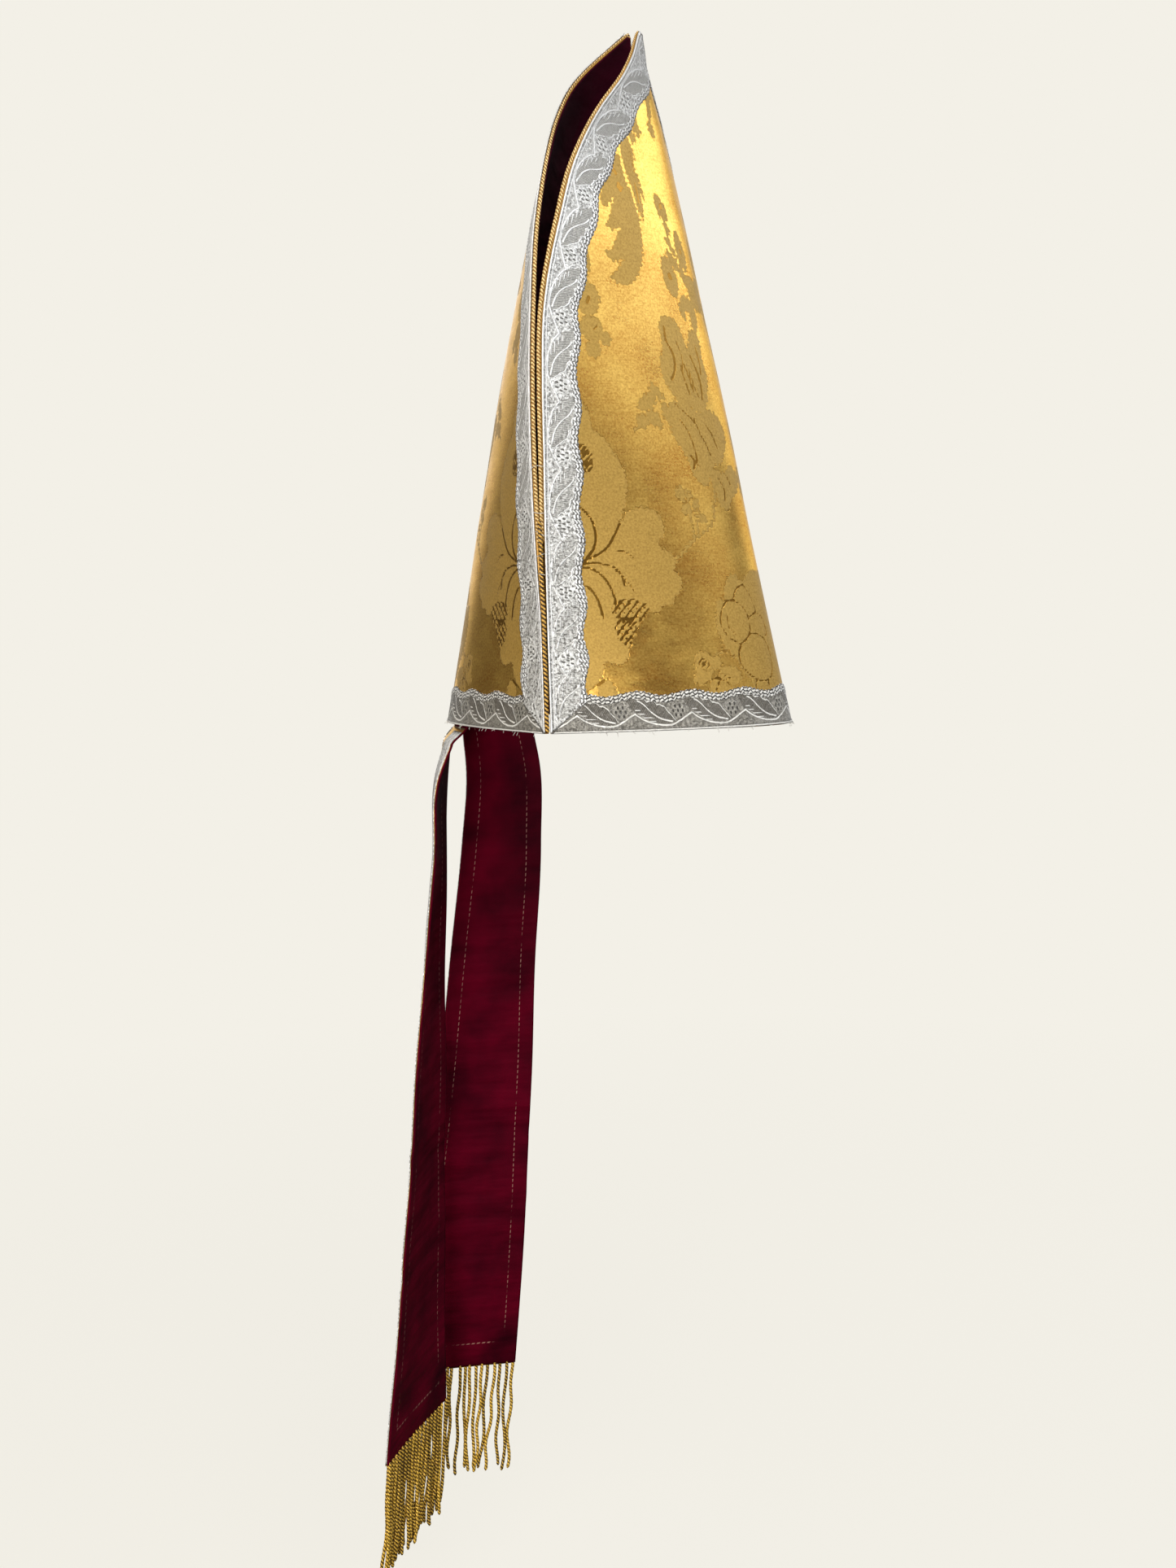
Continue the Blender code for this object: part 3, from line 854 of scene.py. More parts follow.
@dataclass(frozen=True)
class MetalGalloon:
    """Silver galloon, woven from metal-wrapped thread.

    The ground is granular, the leaves are hatched with dark ribs, and the outlines, berries and roped
    border are raised in bright thread, so the whole glitters. The thread runs along the strip, so the
    strips that stand upright catch the light and those that lie level look grey; this is painted, as
    lighter tones for the upright strips (painted sheen) and darker ones for the level strips (painted
    shade).
    """

    period: float
    tones: GalloonTones
    second_line: float = 0.0
    low_glare: float = 0.0
    low_glare_below: float = 0.13
    shaded_above: float = 0.312
    glint_cell: float = 1.0
    rib_pitch: float = 0.95
    leaf_start: float = 0.19
    leaf_end: float = 0.8
    berries_at: tuple[float, float] = (0.875, 10.8)
    berries_reach: float = 4.4
    berry_pitch: float = 2.7
    rope_edge: tuple[float, float, float] = (20.6, 1.3, 0.15)
    rope_strand: float = 1.9
    rope_turn: float = 2.5

    def make(self, name: str) -> bpy.types.Material:
        """Builds the material.

        Args:
            name: The material's name.

        Returns:
            A material that reads the UV: across from the straight edge, and along, in millimetres.
        """
        tones = GalloonTones(*[colour(tone) for tone in self.tones])
        paint = Paint(name)
        uv, u, v = paint.cloth()
        turn = paint.node("Math:FRACT", v / self.period)
        swag, top, foot, midrib = (self.line(paint, turn, knots) for knots in GALLOON)
        # The metal thread's glints are 0.2 mm across and are drawn at 1 mm so that they show.
        grain = paint.noise(uv, 0.6, 3.0)
        glint = paint.squares(uv, self.glint_cell)
        # worm draws dark wandering lines that the relief also sinks: painted shade in the creases of the
        # metal thread.
        worm = abs(paint.noise(uv, 0.45, 2.0, 0.6) - 0.5).within(0.03, 0.05)
        speck = grain * 1.8 + glint * 0.6 - 0.7 - worm * 0.5
        ragged = (grain - 0.5) * 1.6
        tooth = paint.node("Math:PINGPONG", v, 1.3)
        # The leaf: its ribs are 0.5 mm apart and are drawn at 0.95 mm so that they show.
        rib = paint.wave(v * 0.97 + u * 0.26, self.rib_pitch) * 0.5 + 0.5
        in_leaf = (foot - u).within(0.2 + tooth * 0.3, 0.2) * (u - top).within(tooth * -0.35, 0.2)
        leaf_rim = abs(u - top - 0.55 + tooth * 0.3).within(0.4 + ragged * 0.2, 0.25)
        leaf_rim = leaf_rim * turn.within(self.leaf_end, 0.02)
        barb = abs(paint.node("Math:FRACT", u / 2.1) - 0.5).within(0.14, 0.1)
        barb = barb * abs(u - foot - 0.5).within(1.5, 0.3)
        barb = barb * turn.within(0.46, 0.02) * (0.13 - turn).within(0.0, 0.02)
        vein = abs(u - midrib).within(0.5, 0.25)
        vein = vein * (self.leaf_start - turn).within(0.0, 0.01) * turn.within(0.75, 0.02)
        # The swag between the peaks, with a smooth band under it.
        swag_line = abs(u - swag + ragged * 0.3).within(0.5, 0.25)
        band = abs(u - swag + 1.3).within(0.7, 0.4)
        below = (u - swag).within(0.0, 0.3)
        # The berries: nine dark pits in a bright ground.
        place, height = self.berries_at
        disc_x = (turn - place) * self.period
        disc_z = u - height
        radius = paint.node("Math:SQRT", disc_x * disc_x + disc_z * disc_z)
        disc = radius.within(self.berries_reach, 0.8)
        across = paint.wave(disc_x + disc_z * 0.5, self.berry_pitch, "COSINE")
        down = paint.wave(disc_x - disc_z * 0.62, self.berry_pitch, "COSINE")
        pits = (0.75 - across - down).within(0.0, 0.5) * radius.within(self.berries_reach - 0.4, 0.4)
        # The roped border: three twisted strands that follow the scallops.
        middle, swing, peak = self.rope_edge
        edge = paint.wave(turn - peak, 1.0, "COSINE") * swing + middle
        depth = edge - u + ragged * 0.25
        strand = paint.node("Math:FRACT", depth / self.rope_strand + paint.wave(v, 4.4) * 0.2)
        twist = paint.node("Math:SINE", v * (2 * math.pi / self.rope_turn) + strand * 4.0)
        rope = abs(strand - 0.5).within(0.26 + twist * 0.2, 0.2)
        in_rope = depth.within(3.8, 0.4)
        cord = abs(u - 0.6).within(0.5, 0.3)
        if self.second_line:
            cord = paint.either(cord, abs(u - self.second_line).within(0.28, 0.25))
        stitch = abs(u - 1.5).within(0.2) * paint.wave(v, 1.5).within(0.5, 0.4)
        white = paint.either(swag_line, leaf_rim, barb, vein) * (1.0 - in_rope)
        z = paint.node("SeparateXYZ", paint.node("TexCoord", out="Object"), out="Z")
        # Low on the upright strips the galloon is painted as if in strong light: the leaves wash into the
        # grainy ground, the white lines fade and more dark pits show. This is painted light.
        low_glare_share = z.within(self.low_glare_below, 0.16) * self.low_glare

        def shade(factor: Signal | float) -> Signal:
            """The ground's tone, from its low places to its high ones."""
            return paint.blend(factor, tones.low, tones.high)

        leaf = paint.blend(rib * 0.8 + glint * 0.25 - 0.05, tones.hatch_low, tones.hatch_high)
        leaf = paint.blend(low_glare_share * 0.7, leaf, paint.blend(speck, tones.hatch_low, tones.high))
        base = paint.blend(below * 0.5, shade(speck), shade(speck * 0.8))
        base = paint.blend(band * 0.6, base, shade(0.4))
        base = paint.blend(in_leaf, base, leaf)
        base = paint.blend(disc * 0.8, base, shade(speck * 0.6 + 0.4))
        base = paint.blend(pits, base, tones.pit)
        base = paint.blend(in_rope, base, paint.blend(rope + (glint - 0.5) * 0.3, tones.pit, tones.bright))
        base = paint.blend(white * (1.0 - low_glare_share * 0.55), base, tones.bright)
        base = paint.blend((grain * 0.8 + glint * 0.2).within(0.36, 0.06) * (low_glare_share + 0.15), base, tones.pit)
        base = paint.blend(stitch * 0.7, base, tones.pit)
        base = paint.blend(cord, base, tones.bright)
        base = paint.blend(paint.stored("cut").within(0.9, 0.5) * 0.8, base, tones.pit)
        # Near the tips the strips are painted darker and greyer: painted shade where the thread's sheen
        # turns away from the light.
        base = paint.blend((self.shaded_above - z).within(0.0, 0.04) * 0.4, base, tones.low)
        raised = white + disc * 0.4 - pits * 0.7 + rope * in_rope + cord + in_leaf * (rib * 0.25 - 0.2)
        rough = speck * 0.8 + glint * 0.2 - stitch * 0.4 + paint.noise(uv, 0.16, 2.0) * 1.5
        paint.surface(base_color=base, roughness=0.36 - white * 0.05, metallic=0.15, specular_ior_level=0.5)
        paint.relief(raised + rough, 0.5, 1.0)
        return paint.material

    def line(self, paint: Paint, turn: Signal, knots: tuple) -> Signal:
        """The height of one of the repeat's lines at each place.

        Args:
            paint: The material.
            turn: Place within the repeat, 0 to 1.
            knots: The line's points.

        Returns:
            Height off the straight edge in millimetres.
        """
        curve = tuple((k[0], k[1] / GALLOON_REACH, *k[2:]) for k in knots)
        return paint.node("FloatCurve", 1.0, turn, curve=curve) * GALLOON_REACH


@dataclass(frozen=True)
class CottonLining:
    """Burgundy lining cloth: a close plain weave, dull, with a row of pale running stitches."""

    tone: str = "5E0018"
    deep: str = "240008"
    thread: str = "C79A86"
    stitch_inset: float = 9.5
    stitch_pitch: float = 3.6

    def make(self, name: str, stitched: bool) -> bpy.types.Material:
        """Builds the material.

        Args:
            name: The material's name.
            stitched: True where the running stitches show.

        Returns:
            A material that reads the UV in millimetres and the border attribute.
        """
        paint = Paint(name)
        uv, u, v = paint.cloth()
        cloud = paint.noise(uv, 0.03, 3.0)
        grain = paint.noise(uv, 2.0, 2.0)
        crease = paint.noise(paint.node("VectorMath:MULTIPLY", uv, (0.2, 1.0, 1.0)), 0.05, 3.0)
        # share darkens the cloth in broad cloudy patches and along the creases that the relief raises:
        # painted shade.
        share = (cloud - 0.5) * 1.1 + (crease - 0.5) * 0.6 + grain * 0.3 + 0.24
        base = paint.blend(share, colour(self.deep), colour(self.tone))
        if stitched:
            dash = paint.wave(u + v, self.stitch_pitch).within(0.2, 0.5)
            low_glare_share = paint.noise(uv, 0.06, 2.0)
            row = abs(paint.stored("border") - self.stitch_inset).within(0.22, 0.2)
            row = row * dash * (0.42 - low_glare_share).within(0.0, 0.2)
            base = paint.blend(row * 0.4, base, colour(self.thread))
        paint.surface(base_color=base, roughness=0.65, specular_ior_level=0.03)
        paint.relief(grain * 0.1 + crease * 4.0, 1.0, 1.0)
        return paint.material


@dataclass(frozen=True)
class GoldThread:
    """Cord of gilt thread wound round a core: fine bright turns with dark lines between them, which are
    painted shade in the grooves.
    """

    bright: str = "E0B04E"
    deep: str = "8F6420"
    turn: float = 0.9
    contrast: float = 0.65

    def make(self, name: str) -> bpy.types.Material:
        """Builds the material, which reads the UV: around and along the cord in millimetres."""
        paint = Paint(name)
        uv, u, v = paint.cloth()
        grain = paint.noise(uv, 0.8, 2.0)
        tone = paint.stored("tone")
        # The tone also shifts the winding, so that neighbouring cords don't line up in rows.
        wind = paint.wave(v + u * 0.6 + tone * 31.0 + (grain - 0.5) * 0.9, self.turn)
        wear = paint.noise(uv, 0.12, 2.0)
        # share darkens the grooves between the turns, as painted shade, and lifts or lowers each cord by
        # its tone.
        share = wind * self.contrast + (wear - 0.5) * 0.5 + tone + 0.05
        base = paint.blend(share, colour(self.deep), colour(self.bright))
        paint.surface(base_color=base, roughness=0.38, metallic=0.3, specular_ior_level=0.5)
        paint.relief(wind * 0.8 + grain * 0.3, 0.4, 1.0)
        return paint.material


@dataclass(frozen=True)
class StudioPaper:
    """Ivory studio paper: dull and even near the mitre, and lost in its own brightness further off."""

    tone: str = "F3F0E7"
    near: str = "5A5955"
    near_deep: str = "555450"
    far: str = "000000"
    near_reach: float = 1.1
    near_soft: float = 1.4
    near_dim: float = 0.13

    def make(self) -> bpy.types.Material:
        """Builds the material."""
        paint = Paint("studio_paper")
        place = paint.node("TexCoord", out="Object")
        flat = paint.node("VectorMath:MULTIPLY", place, (1.0, 1.0, 0.0))
        near = paint.node("VectorMath:LENGTH", flat).within(self.near_reach, self.near_soft)
        grain = paint.node("TexNoise", place, 3.0)
        paper = paint.blend(grain * 0.1, colour(self.near), colour(self.near_deep))
        paint.surface(
            base_color=paint.blend(near, colour(self.far), paper),
            roughness=1.0,
            specular_ior_level=0.0,
            emission_color=colour(self.tone),
            emission_strength=1.0 - near * self.near_dim,
        )
        return paint.material


@dataclass
class Wardrobe:
    """Every finish, made once."""

    side_braid: Braid = Braid(period=37.0)
    rim_braid: Braid = Braid(period=31.8)
    trim_braid: Braid = Braid(period=36.4, width=14.0, scallop=0.9)

    def __post_init__(self) -> None:
        """Makes the materials."""
        self.damask = SilkDamask().make()
        self.satin = PlainSilk().make()
        upright = MetalGalloon(self.side_braid.period, UPRIGHT_TONES, second_line=2.6, low_glare=0.75)
        self.side_galloon = upright.make("silver_galloon_upright")
        level = MetalGalloon(self.rim_braid.period, LEVEL_TONES)
        self.rim_galloon = level.make("silver_galloon_level")
        self.lining = CottonLining(tone="440A1C", deep="280612").make("burgundy_lining", False)
        self.stitched_lining = CottonLining().make("burgundy_lining_stitched", True)
        self.piping = GoldThread(bright="F0CE8C", deep="8E6428", turn=2.0).make("gold_piping")
        self.seam = GoldThread(bright="CFA04A", deep="241006", turn=2.4).make("gold_seam_cord")
        self.thread = GoldThread(bright="F4F1E6", deep="C9C3B2", turn=1.1).make("pale_thread")
        bullion = GoldThread(bright="F0C04A", deep="50380C", turn=2.4, contrast=0.55)
        self.bullion = bullion.make("gold_bullion")


# ----------------------------------------------------------------------------- the damask chart
class Bloom(NamedTuple):
    """A closed outline of a woven motif, in (arc, height), drawn as a smooth line unless sharp."""

    points: tuple
    sharp: bool = False


class Vein(NamedTuple):
    """A line in the ground weave that cuts a motif, or in the motif's weave on the ground."""

    points: tuple
    width: float


class Net(NamedTuple):
    """A lattice of lines in a motif: its middle, radii, cell size and line width."""

    middle: tuple
    radii: tuple
    cell: float
    width: float


BLOOMS = (
    Bloom(
        (
            (-104, 164), (-94, 164.5), (-87, 159), (-81.6, 150), (-78, 141), (-78, 133), (-80, 124),
            (-85, 115), (-91, 105), (-97, 98), (-108, 94), (-112, 130),
        ),
    ),
    Bloom(((-106, 187), (-99, 184), (-94.5, 175), (-93, 166), (-97, 160), (-110, 160))),
    Bloom(
        (
            (-84.8, 114), (-80, 119), (-75, 121.5), (-67, 121.5),
            (-61.5, 118), (-59.6, 112), (-61, 106.5), (-65.5, 102),
            (-61, 98.5), (-57, 95), (-56.6, 90), (-58.5, 87.5), (-55.5, 84),
            (-55.4, 79), (-58, 75), (-61, 73), (-63, 69), (-68, 69),
            (-70.5, 65.4), (-75, 64.6), (-77, 66.5), (-80, 62), (-84, 58.5),
            (-87.4, 52.6), (-91, 47), (-92, 43), (-95, 38.6),
            (-99.5, 36.4), (-104, 38.6), (-107, 38), (-108, 34), (-112.6, 27), (-117, 24),
            (-124, 23), (-122, 60), (-116, 92), (-106, 96), (-95, 99),
        )
    ),
    Bloom(((-113, 24), (-108.5, 29), (-104.6, 26.6), (-103, 20), (-104, 14), (-112, 14))),
    Bloom(
        (
            (-43, 314), (-41, 300), (-38, 289), (-37, 281.5), (-38, 271.5),
            (-40.4, 259), (-44.8, 251), (-49.8, 244.6), (-56, 242),
            (-62, 243.4), (-66, 246.3), (-63, 247.8), (-59, 251), (-53, 257.8),
            (-56, 256.4), (-60, 254.6), (-63, 255), (-66.3, 259.6),
            (-62, 260.4), (-58, 265), (-55, 270), (-51, 274.2), (-54.8, 273),
            (-58.5, 271.5), (-62, 274), (-58.5, 278), (-55.5, 283.6),
            (-53, 289.8), (-56, 286.6), (-59.8, 284), (-62.5, 286.5), (-60.4, 291.5),
            (-59, 297), (-55, 302), (-51.6, 308.4), (-47, 314),
        ),
        True,
    ),
    Bloom(
        (
            (-37, 330), (-34, 327), (-31, 320), (-30.4, 312.8), (-32.4, 311),
            (-30.4, 301.5), (-29.8, 291.5), (-32, 294.5), (-32.2, 286.5),
            (-34.2, 279), (-36, 285), (-37, 294), (-39, 304), (-40.4, 315), (-39, 324),
        ),
        True,
    ),
    Bloom(((-32.5, 331), (-28, 331), (-26.4, 324), (-28.6, 321.6), (-31, 325)), True),
    Bloom(((-27, 335), (-23, 337), (-20.6, 329), (-24, 325.6), (-26.8, 331)), True),
    Bloom(
        (
            (-6, 357), (-3.2, 359), (-3.8, 351.5), (-7, 349), (-7.6, 341.5), (-9, 337.4), (-11.8, 340),
            (-10.4, 345), (-11, 350), (-8, 353),
        ),
        True,
    ),
    Bloom(((-12.6, 337), (-9.6, 338), (-7.4, 332), (-8.6, 326), (-11, 330), (-13, 332)), True),
    Bloom(((-84, 264), (-79, 262), (-76.8, 254), (-79, 247), (-84, 243), (-88, 250))),
    Bloom(
        (
            (-88, 236), (-84, 242), (-78, 241.4), (-75, 236), (-76, 230), (-80, 225.5), (-85, 224),
            (-88, 228), (-91, 231),
        ),
    ),
    Bloom(
        (
            (-88, 222), (-83.5, 224.4), (-79, 223), (-76.4, 219), (-77, 214.6), (-80, 211), (-84, 210),
            (-88, 213), (-91, 218),
        ),
    ),
    Bloom(((-78.6, 216), (-75, 216.6), (-72.2, 213.4), (-73.6, 209.6), (-77, 208.8), (-79.4, 212))),
    Bloom(((-86.6, 210), (-83, 211), (-80, 208), (-81, 204), (-84, 201.6), (-88, 204), (-89, 208))),
    Bloom(
        (
            (-21.6, 294), (-18.4, 295.6), (-15.4, 293.4), (-13, 289), (-12.6, 283.6), (-15, 281),
            (-17.6, 281.4), (-20.8, 285), (-21.6, 289),
        ),
        True,
    ),
    Bloom(
        (
            (-26, 260), (-22.6, 261.4), (-18.6, 256), (-16.8, 249), (-18, 241), (-21, 237.6),
            (-25, 240.6), (-27.8, 247), (-28, 254),
        ),
        True,
    ),
    Bloom(
        (
            (-10.4, 275), (-8, 277), (-5, 271), (-3.8, 263), (-5.4, 254), (-9.6, 257), (-12, 264),
            (-12, 270),
        ),
        True,
    ),
    Bloom(((-18.6, 280), (-16, 281), (-14, 276), (-15, 272.6), (-17.6, 275)), True),
    Bloom(((-20, 272), (-18, 272.6), (-14, 266), (-12.6, 262), (-15.6, 263), (-19, 268)), True),
    Bloom(((-21.6, 264), (-18.6, 264), (-14, 259), (-13, 252), (-16.4, 254), (-20.6, 260)), True),
    Bloom(((-12.6, 258), (-9.6, 259), (-8, 252), (-9.6, 246), (-12.6, 250)), True),
    Bloom(((-10, 250), (-4, 252), (2, 246), (4, 236), (-2, 232), (-7, 236), (-9, 243))),
    Bloom(
        (
            (-19, 236), (-14, 240), (-8, 237.6), (-5.4, 231), (-7, 224), (-10, 219), (-12.6, 224),
            (-12, 230), (-15.4, 231.6), (-17, 226), (-19.6, 229),
        ),
    ),
    Bloom(
        (
            (-39, 216), (-38.6, 222), (-35, 226.6), (-29, 226.6), (-24.4, 222),
            (-22.8, 215), (-20.6, 210), (-17, 219), (-12, 220), (-8.6, 214),
            (-10.4, 204), (-9, 196), (-11.6, 188), (-14.6, 180), (-20, 174.6),
            (-28, 176.6), (-34.6, 178), (-38.6, 183), (-42, 189), (-44.4, 196),
            (-42.6, 204), (-39.6, 209),
        )
    ),
    Bloom(
        (
            (-44.8, 171), (-43.6, 178.4), (-38, 180.4), (-30, 177), (-23, 174.6),
            (-14, 176), (-6, 170), (-4.6, 160), (-9, 152), (-14, 146),
            (-19.6, 145), (-23, 139.6), (-27, 134.4), (-31, 134.4), (-35, 139),
            (-37.2, 146), (-39.6, 153), (-43.6, 159.4), (-45, 165),
        )
    ),
    Bloom(
        (
            (-24, 141), (-20, 143), (-12, 141), (-6, 146), (0, 140), (-3, 131), (-10, 127), (-14, 120.6),
            (-19, 121.6), (-22, 128), (-23, 135),
        ),
    ),
    Bloom(((-64, 176), (-60, 181.6), (-55, 184), (-51, 183), (-53, 178), (-57, 175), (-61, 174))),
    Bloom(((-54.4, 186), (-52, 189.6), (-48, 186), (-45.6, 181), (-49.4, 181.6), (-53, 184))),
    Bloom(((-58, 173), (-54.6, 174.6), (-51, 171.4), (-50.4, 165), (-54, 165.6), (-57.6, 168))),
    Bloom(((-66, 170), (-62, 172.6), (-58.4, 169.6), (-60, 165), (-64.6, 165.6))),
    Bloom(((-48.6, 177), (-45.6, 179), (-43.4, 173), (-45, 168), (-48, 171))),
    Bloom(((-49, 131.6), (-46, 133.4), (-43, 130.6), (-43.6, 126.6), (-47, 125.6), (-49.4, 128))),
    Bloom(((-41.6, 132), (-39.6, 130), (-40.6, 125), (-42.6, 127)), True),
    Bloom(((-38, 128), (-35.4, 126), (-37, 120), (-40, 122)), True),
    Bloom(((-46, 123), (-42, 124), (-41, 118), (-45, 117.6), (-47.6, 120))),
    Bloom(((-38, 117.6), (-34, 119), (-32, 114), (-36, 112.6)), True),
    Bloom(
        (
            (-59, 26.5), (-57, 31.5), (-56.8, 36.5), (-55, 40.4), (-51.6, 42.8),
            (-47, 41.4), (-44.8, 39), (-41, 39.8), (-41.2, 34), (-44.8, 32.6),
            (-49.6, 27), (-54.6, 24.4),
        )
    ),
    Bloom(
        (
            (-47, 28), (-43.5, 30), (-41, 33.4), (-36, 34), (-31.4, 32), (-29.6, 27), (-33.5, 24),
            (-37, 21), (-41, 16), (-50, 15), (-51, 22),
        ),
    ),
    Bloom(
        (
            (-39, 54), (-37.5, 65), (-34.6, 71), (-31, 70), (-29.4, 77),
            (-25.6, 83), (-20, 84.6), (-16, 80), (-11, 84),
            (-5, 86.6), (2, 84), (6, 76), (6, 20), (-20, 20), (-24, 26), (-28, 31), (-30, 38), (-35, 43),
        )
    ),
)
STEMS = (
    Vein(((-57, 93), (-50, 98), (-43.5, 103.6), (-35, 108.4), (-28.5, 114), (-24.6, 124), (-22, 134)), 1.5),
    Vein(((-43, 104), (-42, 111), (-43.4, 118), (-45.4, 128)), 1.0),
    Vein(((-40, 106), (-38.4, 114), (-37, 124)), 1.0),
    Vein(((-68.5, 163), (-61, 169.6), (-54, 176.6), (-48, 182)), 0.9),
    Vein(((-17, 281), (-16.6, 272), (-14.6, 262), (-17.6, 256)), 0.9),
    Vein(((-14, 260), (-10, 262)), 0.8),
    Vein(((-28, 36), (-34, 40), (-38, 46), (-37, 54)), 0.8),
    Vein(((-44, 40), (-36, 44), (-30, 52)), 0.9),
)
VEINS = (
    Vein(((-110, 93), (-103, 95.6), (-98, 98), (-93.5, 101.5), (-89, 107.4), (-84.8, 114)), 1.1),
    Vein(((-106.6, 95), (-101.4, 101), (-99.6, 108), (-101, 116.5), (-105.4, 122)), 1.3),
    Vein(((-108, 92.8), (-99.8, 92), (-92, 89.6), (-88.6, 85), (-88, 80)), 1.1),
    Vein(((-110, 90.4), (-103.5, 88.6), (-98.5, 84), (-95.4, 77), (-94.6, 70)), 1.3),
    Vein(((-113, 82.4), (-107, 78), (-104, 71.5), (-103, 62.8)), 1.3),
    Vein(((-115, 75), (-112, 70)), 0.9),
    Vein(((-89, 98.6), (-84.8, 98), (-79.5, 94)), 0.9),
    Vein(((-92, 88), (-87, 84), (-83, 76)), 0.7),
    Vein(((-105.6, 38), (-108, 30), (-112.4, 26.4), (-119, 22.6)), 1.3),
    Vein(((-49, 307.8), (-49, 306.4)), 2.2),
    Vein(((-48, 304.4), (-47.4, 303.4)), 2.0),
    Vein(((-46.8, 297.6), (-46.4, 294.4)), 2.0),
    Vein(((-48, 296), (-45, 295.8)), 1.6),
    Vein(((-34.6, 300), (-34, 296), (-34.6, 289)), 0.9),
    Vein(((-33, 317), (-32.6, 306)), 0.7),
    Vein(((-83, 231.6), (-81.4, 234)), 1.6),
    Vein(((-82, 217), (-79.6, 219)), 0.9),
    Vein(((-90, 224), (-84, 224), (-78, 223.6)), 0.7),
    Vein(((-17.2, 288.4), (-16.8, 289.6)), 2.0),
    Vein(((-22.6, 250.6), (-22.2, 249)), 2.4),
    Vein(((-8, 266), (-7.6, 264.6)), 1.6),
    Vein(((-35.6, 221), (-36, 213), (-33, 206), (-34, 198), (-38, 192)), 1.3),
    Vein(((-29, 214), (-27, 205), (-29, 196)), 0.8),
    Vein(((-29.6, 200), (-28.4, 192), (-26.6, 184)), 1.0),
    Vein(((-26.6, 201), (-25, 194), (-24, 186)), 1.0),
    Vein(((-23.6, 198), (-22.4, 190), (-20.4, 183)), 0.9),
    Vein(((-20, 206), (-17.6, 198), (-16.6, 190), (-18, 182)), 1.2),
    Vein(((-14, 212), (-13.4, 203), (-14.6, 196)), 1.0),
    Vein(((-41, 181), (-36, 176), (-30, 171), (-26, 166)), 0.8),
    Vein(((-38, 170), (-33.6, 163), (-31.6, 154), (-31, 144)), 0.9),
    Vein(((-27.6, 171), (-25.6, 163), (-23, 158), (-20, 150)), 0.9),
    Vein(((-20, 168), (-16, 162), (-14, 155)), 0.9),
    Vein(((-35, 150), (-33, 147), (-34.6, 143)), 1.3),
    Vein(((-18, 138), (-15, 132), (-16, 126)), 0.9),
    Vein(((-11, 140), (-8.6, 134)), 0.8),
    Vein(((-49, 27), (-43.6, 27.4), (-39, 24.6), (-35.6, 20)), 0.9),
    Vein(((-43, 31), (-39, 28), (-36, 27)), 0.7),
    Vein(((-46.6, 33), (-44, 27), (-47, 21)), 0.8),
    Vein(
        (
            (-30, 70), (-35, 63), (-35.6, 55), (-31, 48.6), (-25, 46.6), (-19, 50.6), (-16.6, 58),
            (-19, 65.6), (-25, 70), (-30, 70),
        ),
        0.9,
    ),
    Vein(((-31, 62), (-31.6, 56), (-28, 51.4)), 0.8),
    Vein(
        (
            (-25, 46.6), (-28.6, 40), (-27, 32), (-20, 26), (-12, 25), (-6, 31), (-5, 41), (-8.6, 49),
            (-16, 51.6), (-19, 50.6),
        ),
        0.9,
    ),
    Vein(((-25, 70), (-22, 76), (-16, 79)), 0.8),
    Vein(((-16.6, 60), (-10, 63), (-5, 59), (-4, 51), (-8, 49)), 0.8),
    Vein(((-10, 63), (-11, 71), (-16, 79)), 0.8),
    Vein(((-12, 25), (-11, 20)), 0.8),
    Vein(((-20, 26), (-22, 21)), 0.8),
)
NETS = (
    Net((-101, 148.5), (6.5, 8.5), 2.3, 1.1),
    Net((-87, 66), (11.5, 7.5), 3.3, 1.0),
    Net((-91.5, 54.5), (6.5, 8.5), 3.1, 1.0),
    Net((-51, 35.6), (4.2, 4.4), 2.6, 0.7),
)


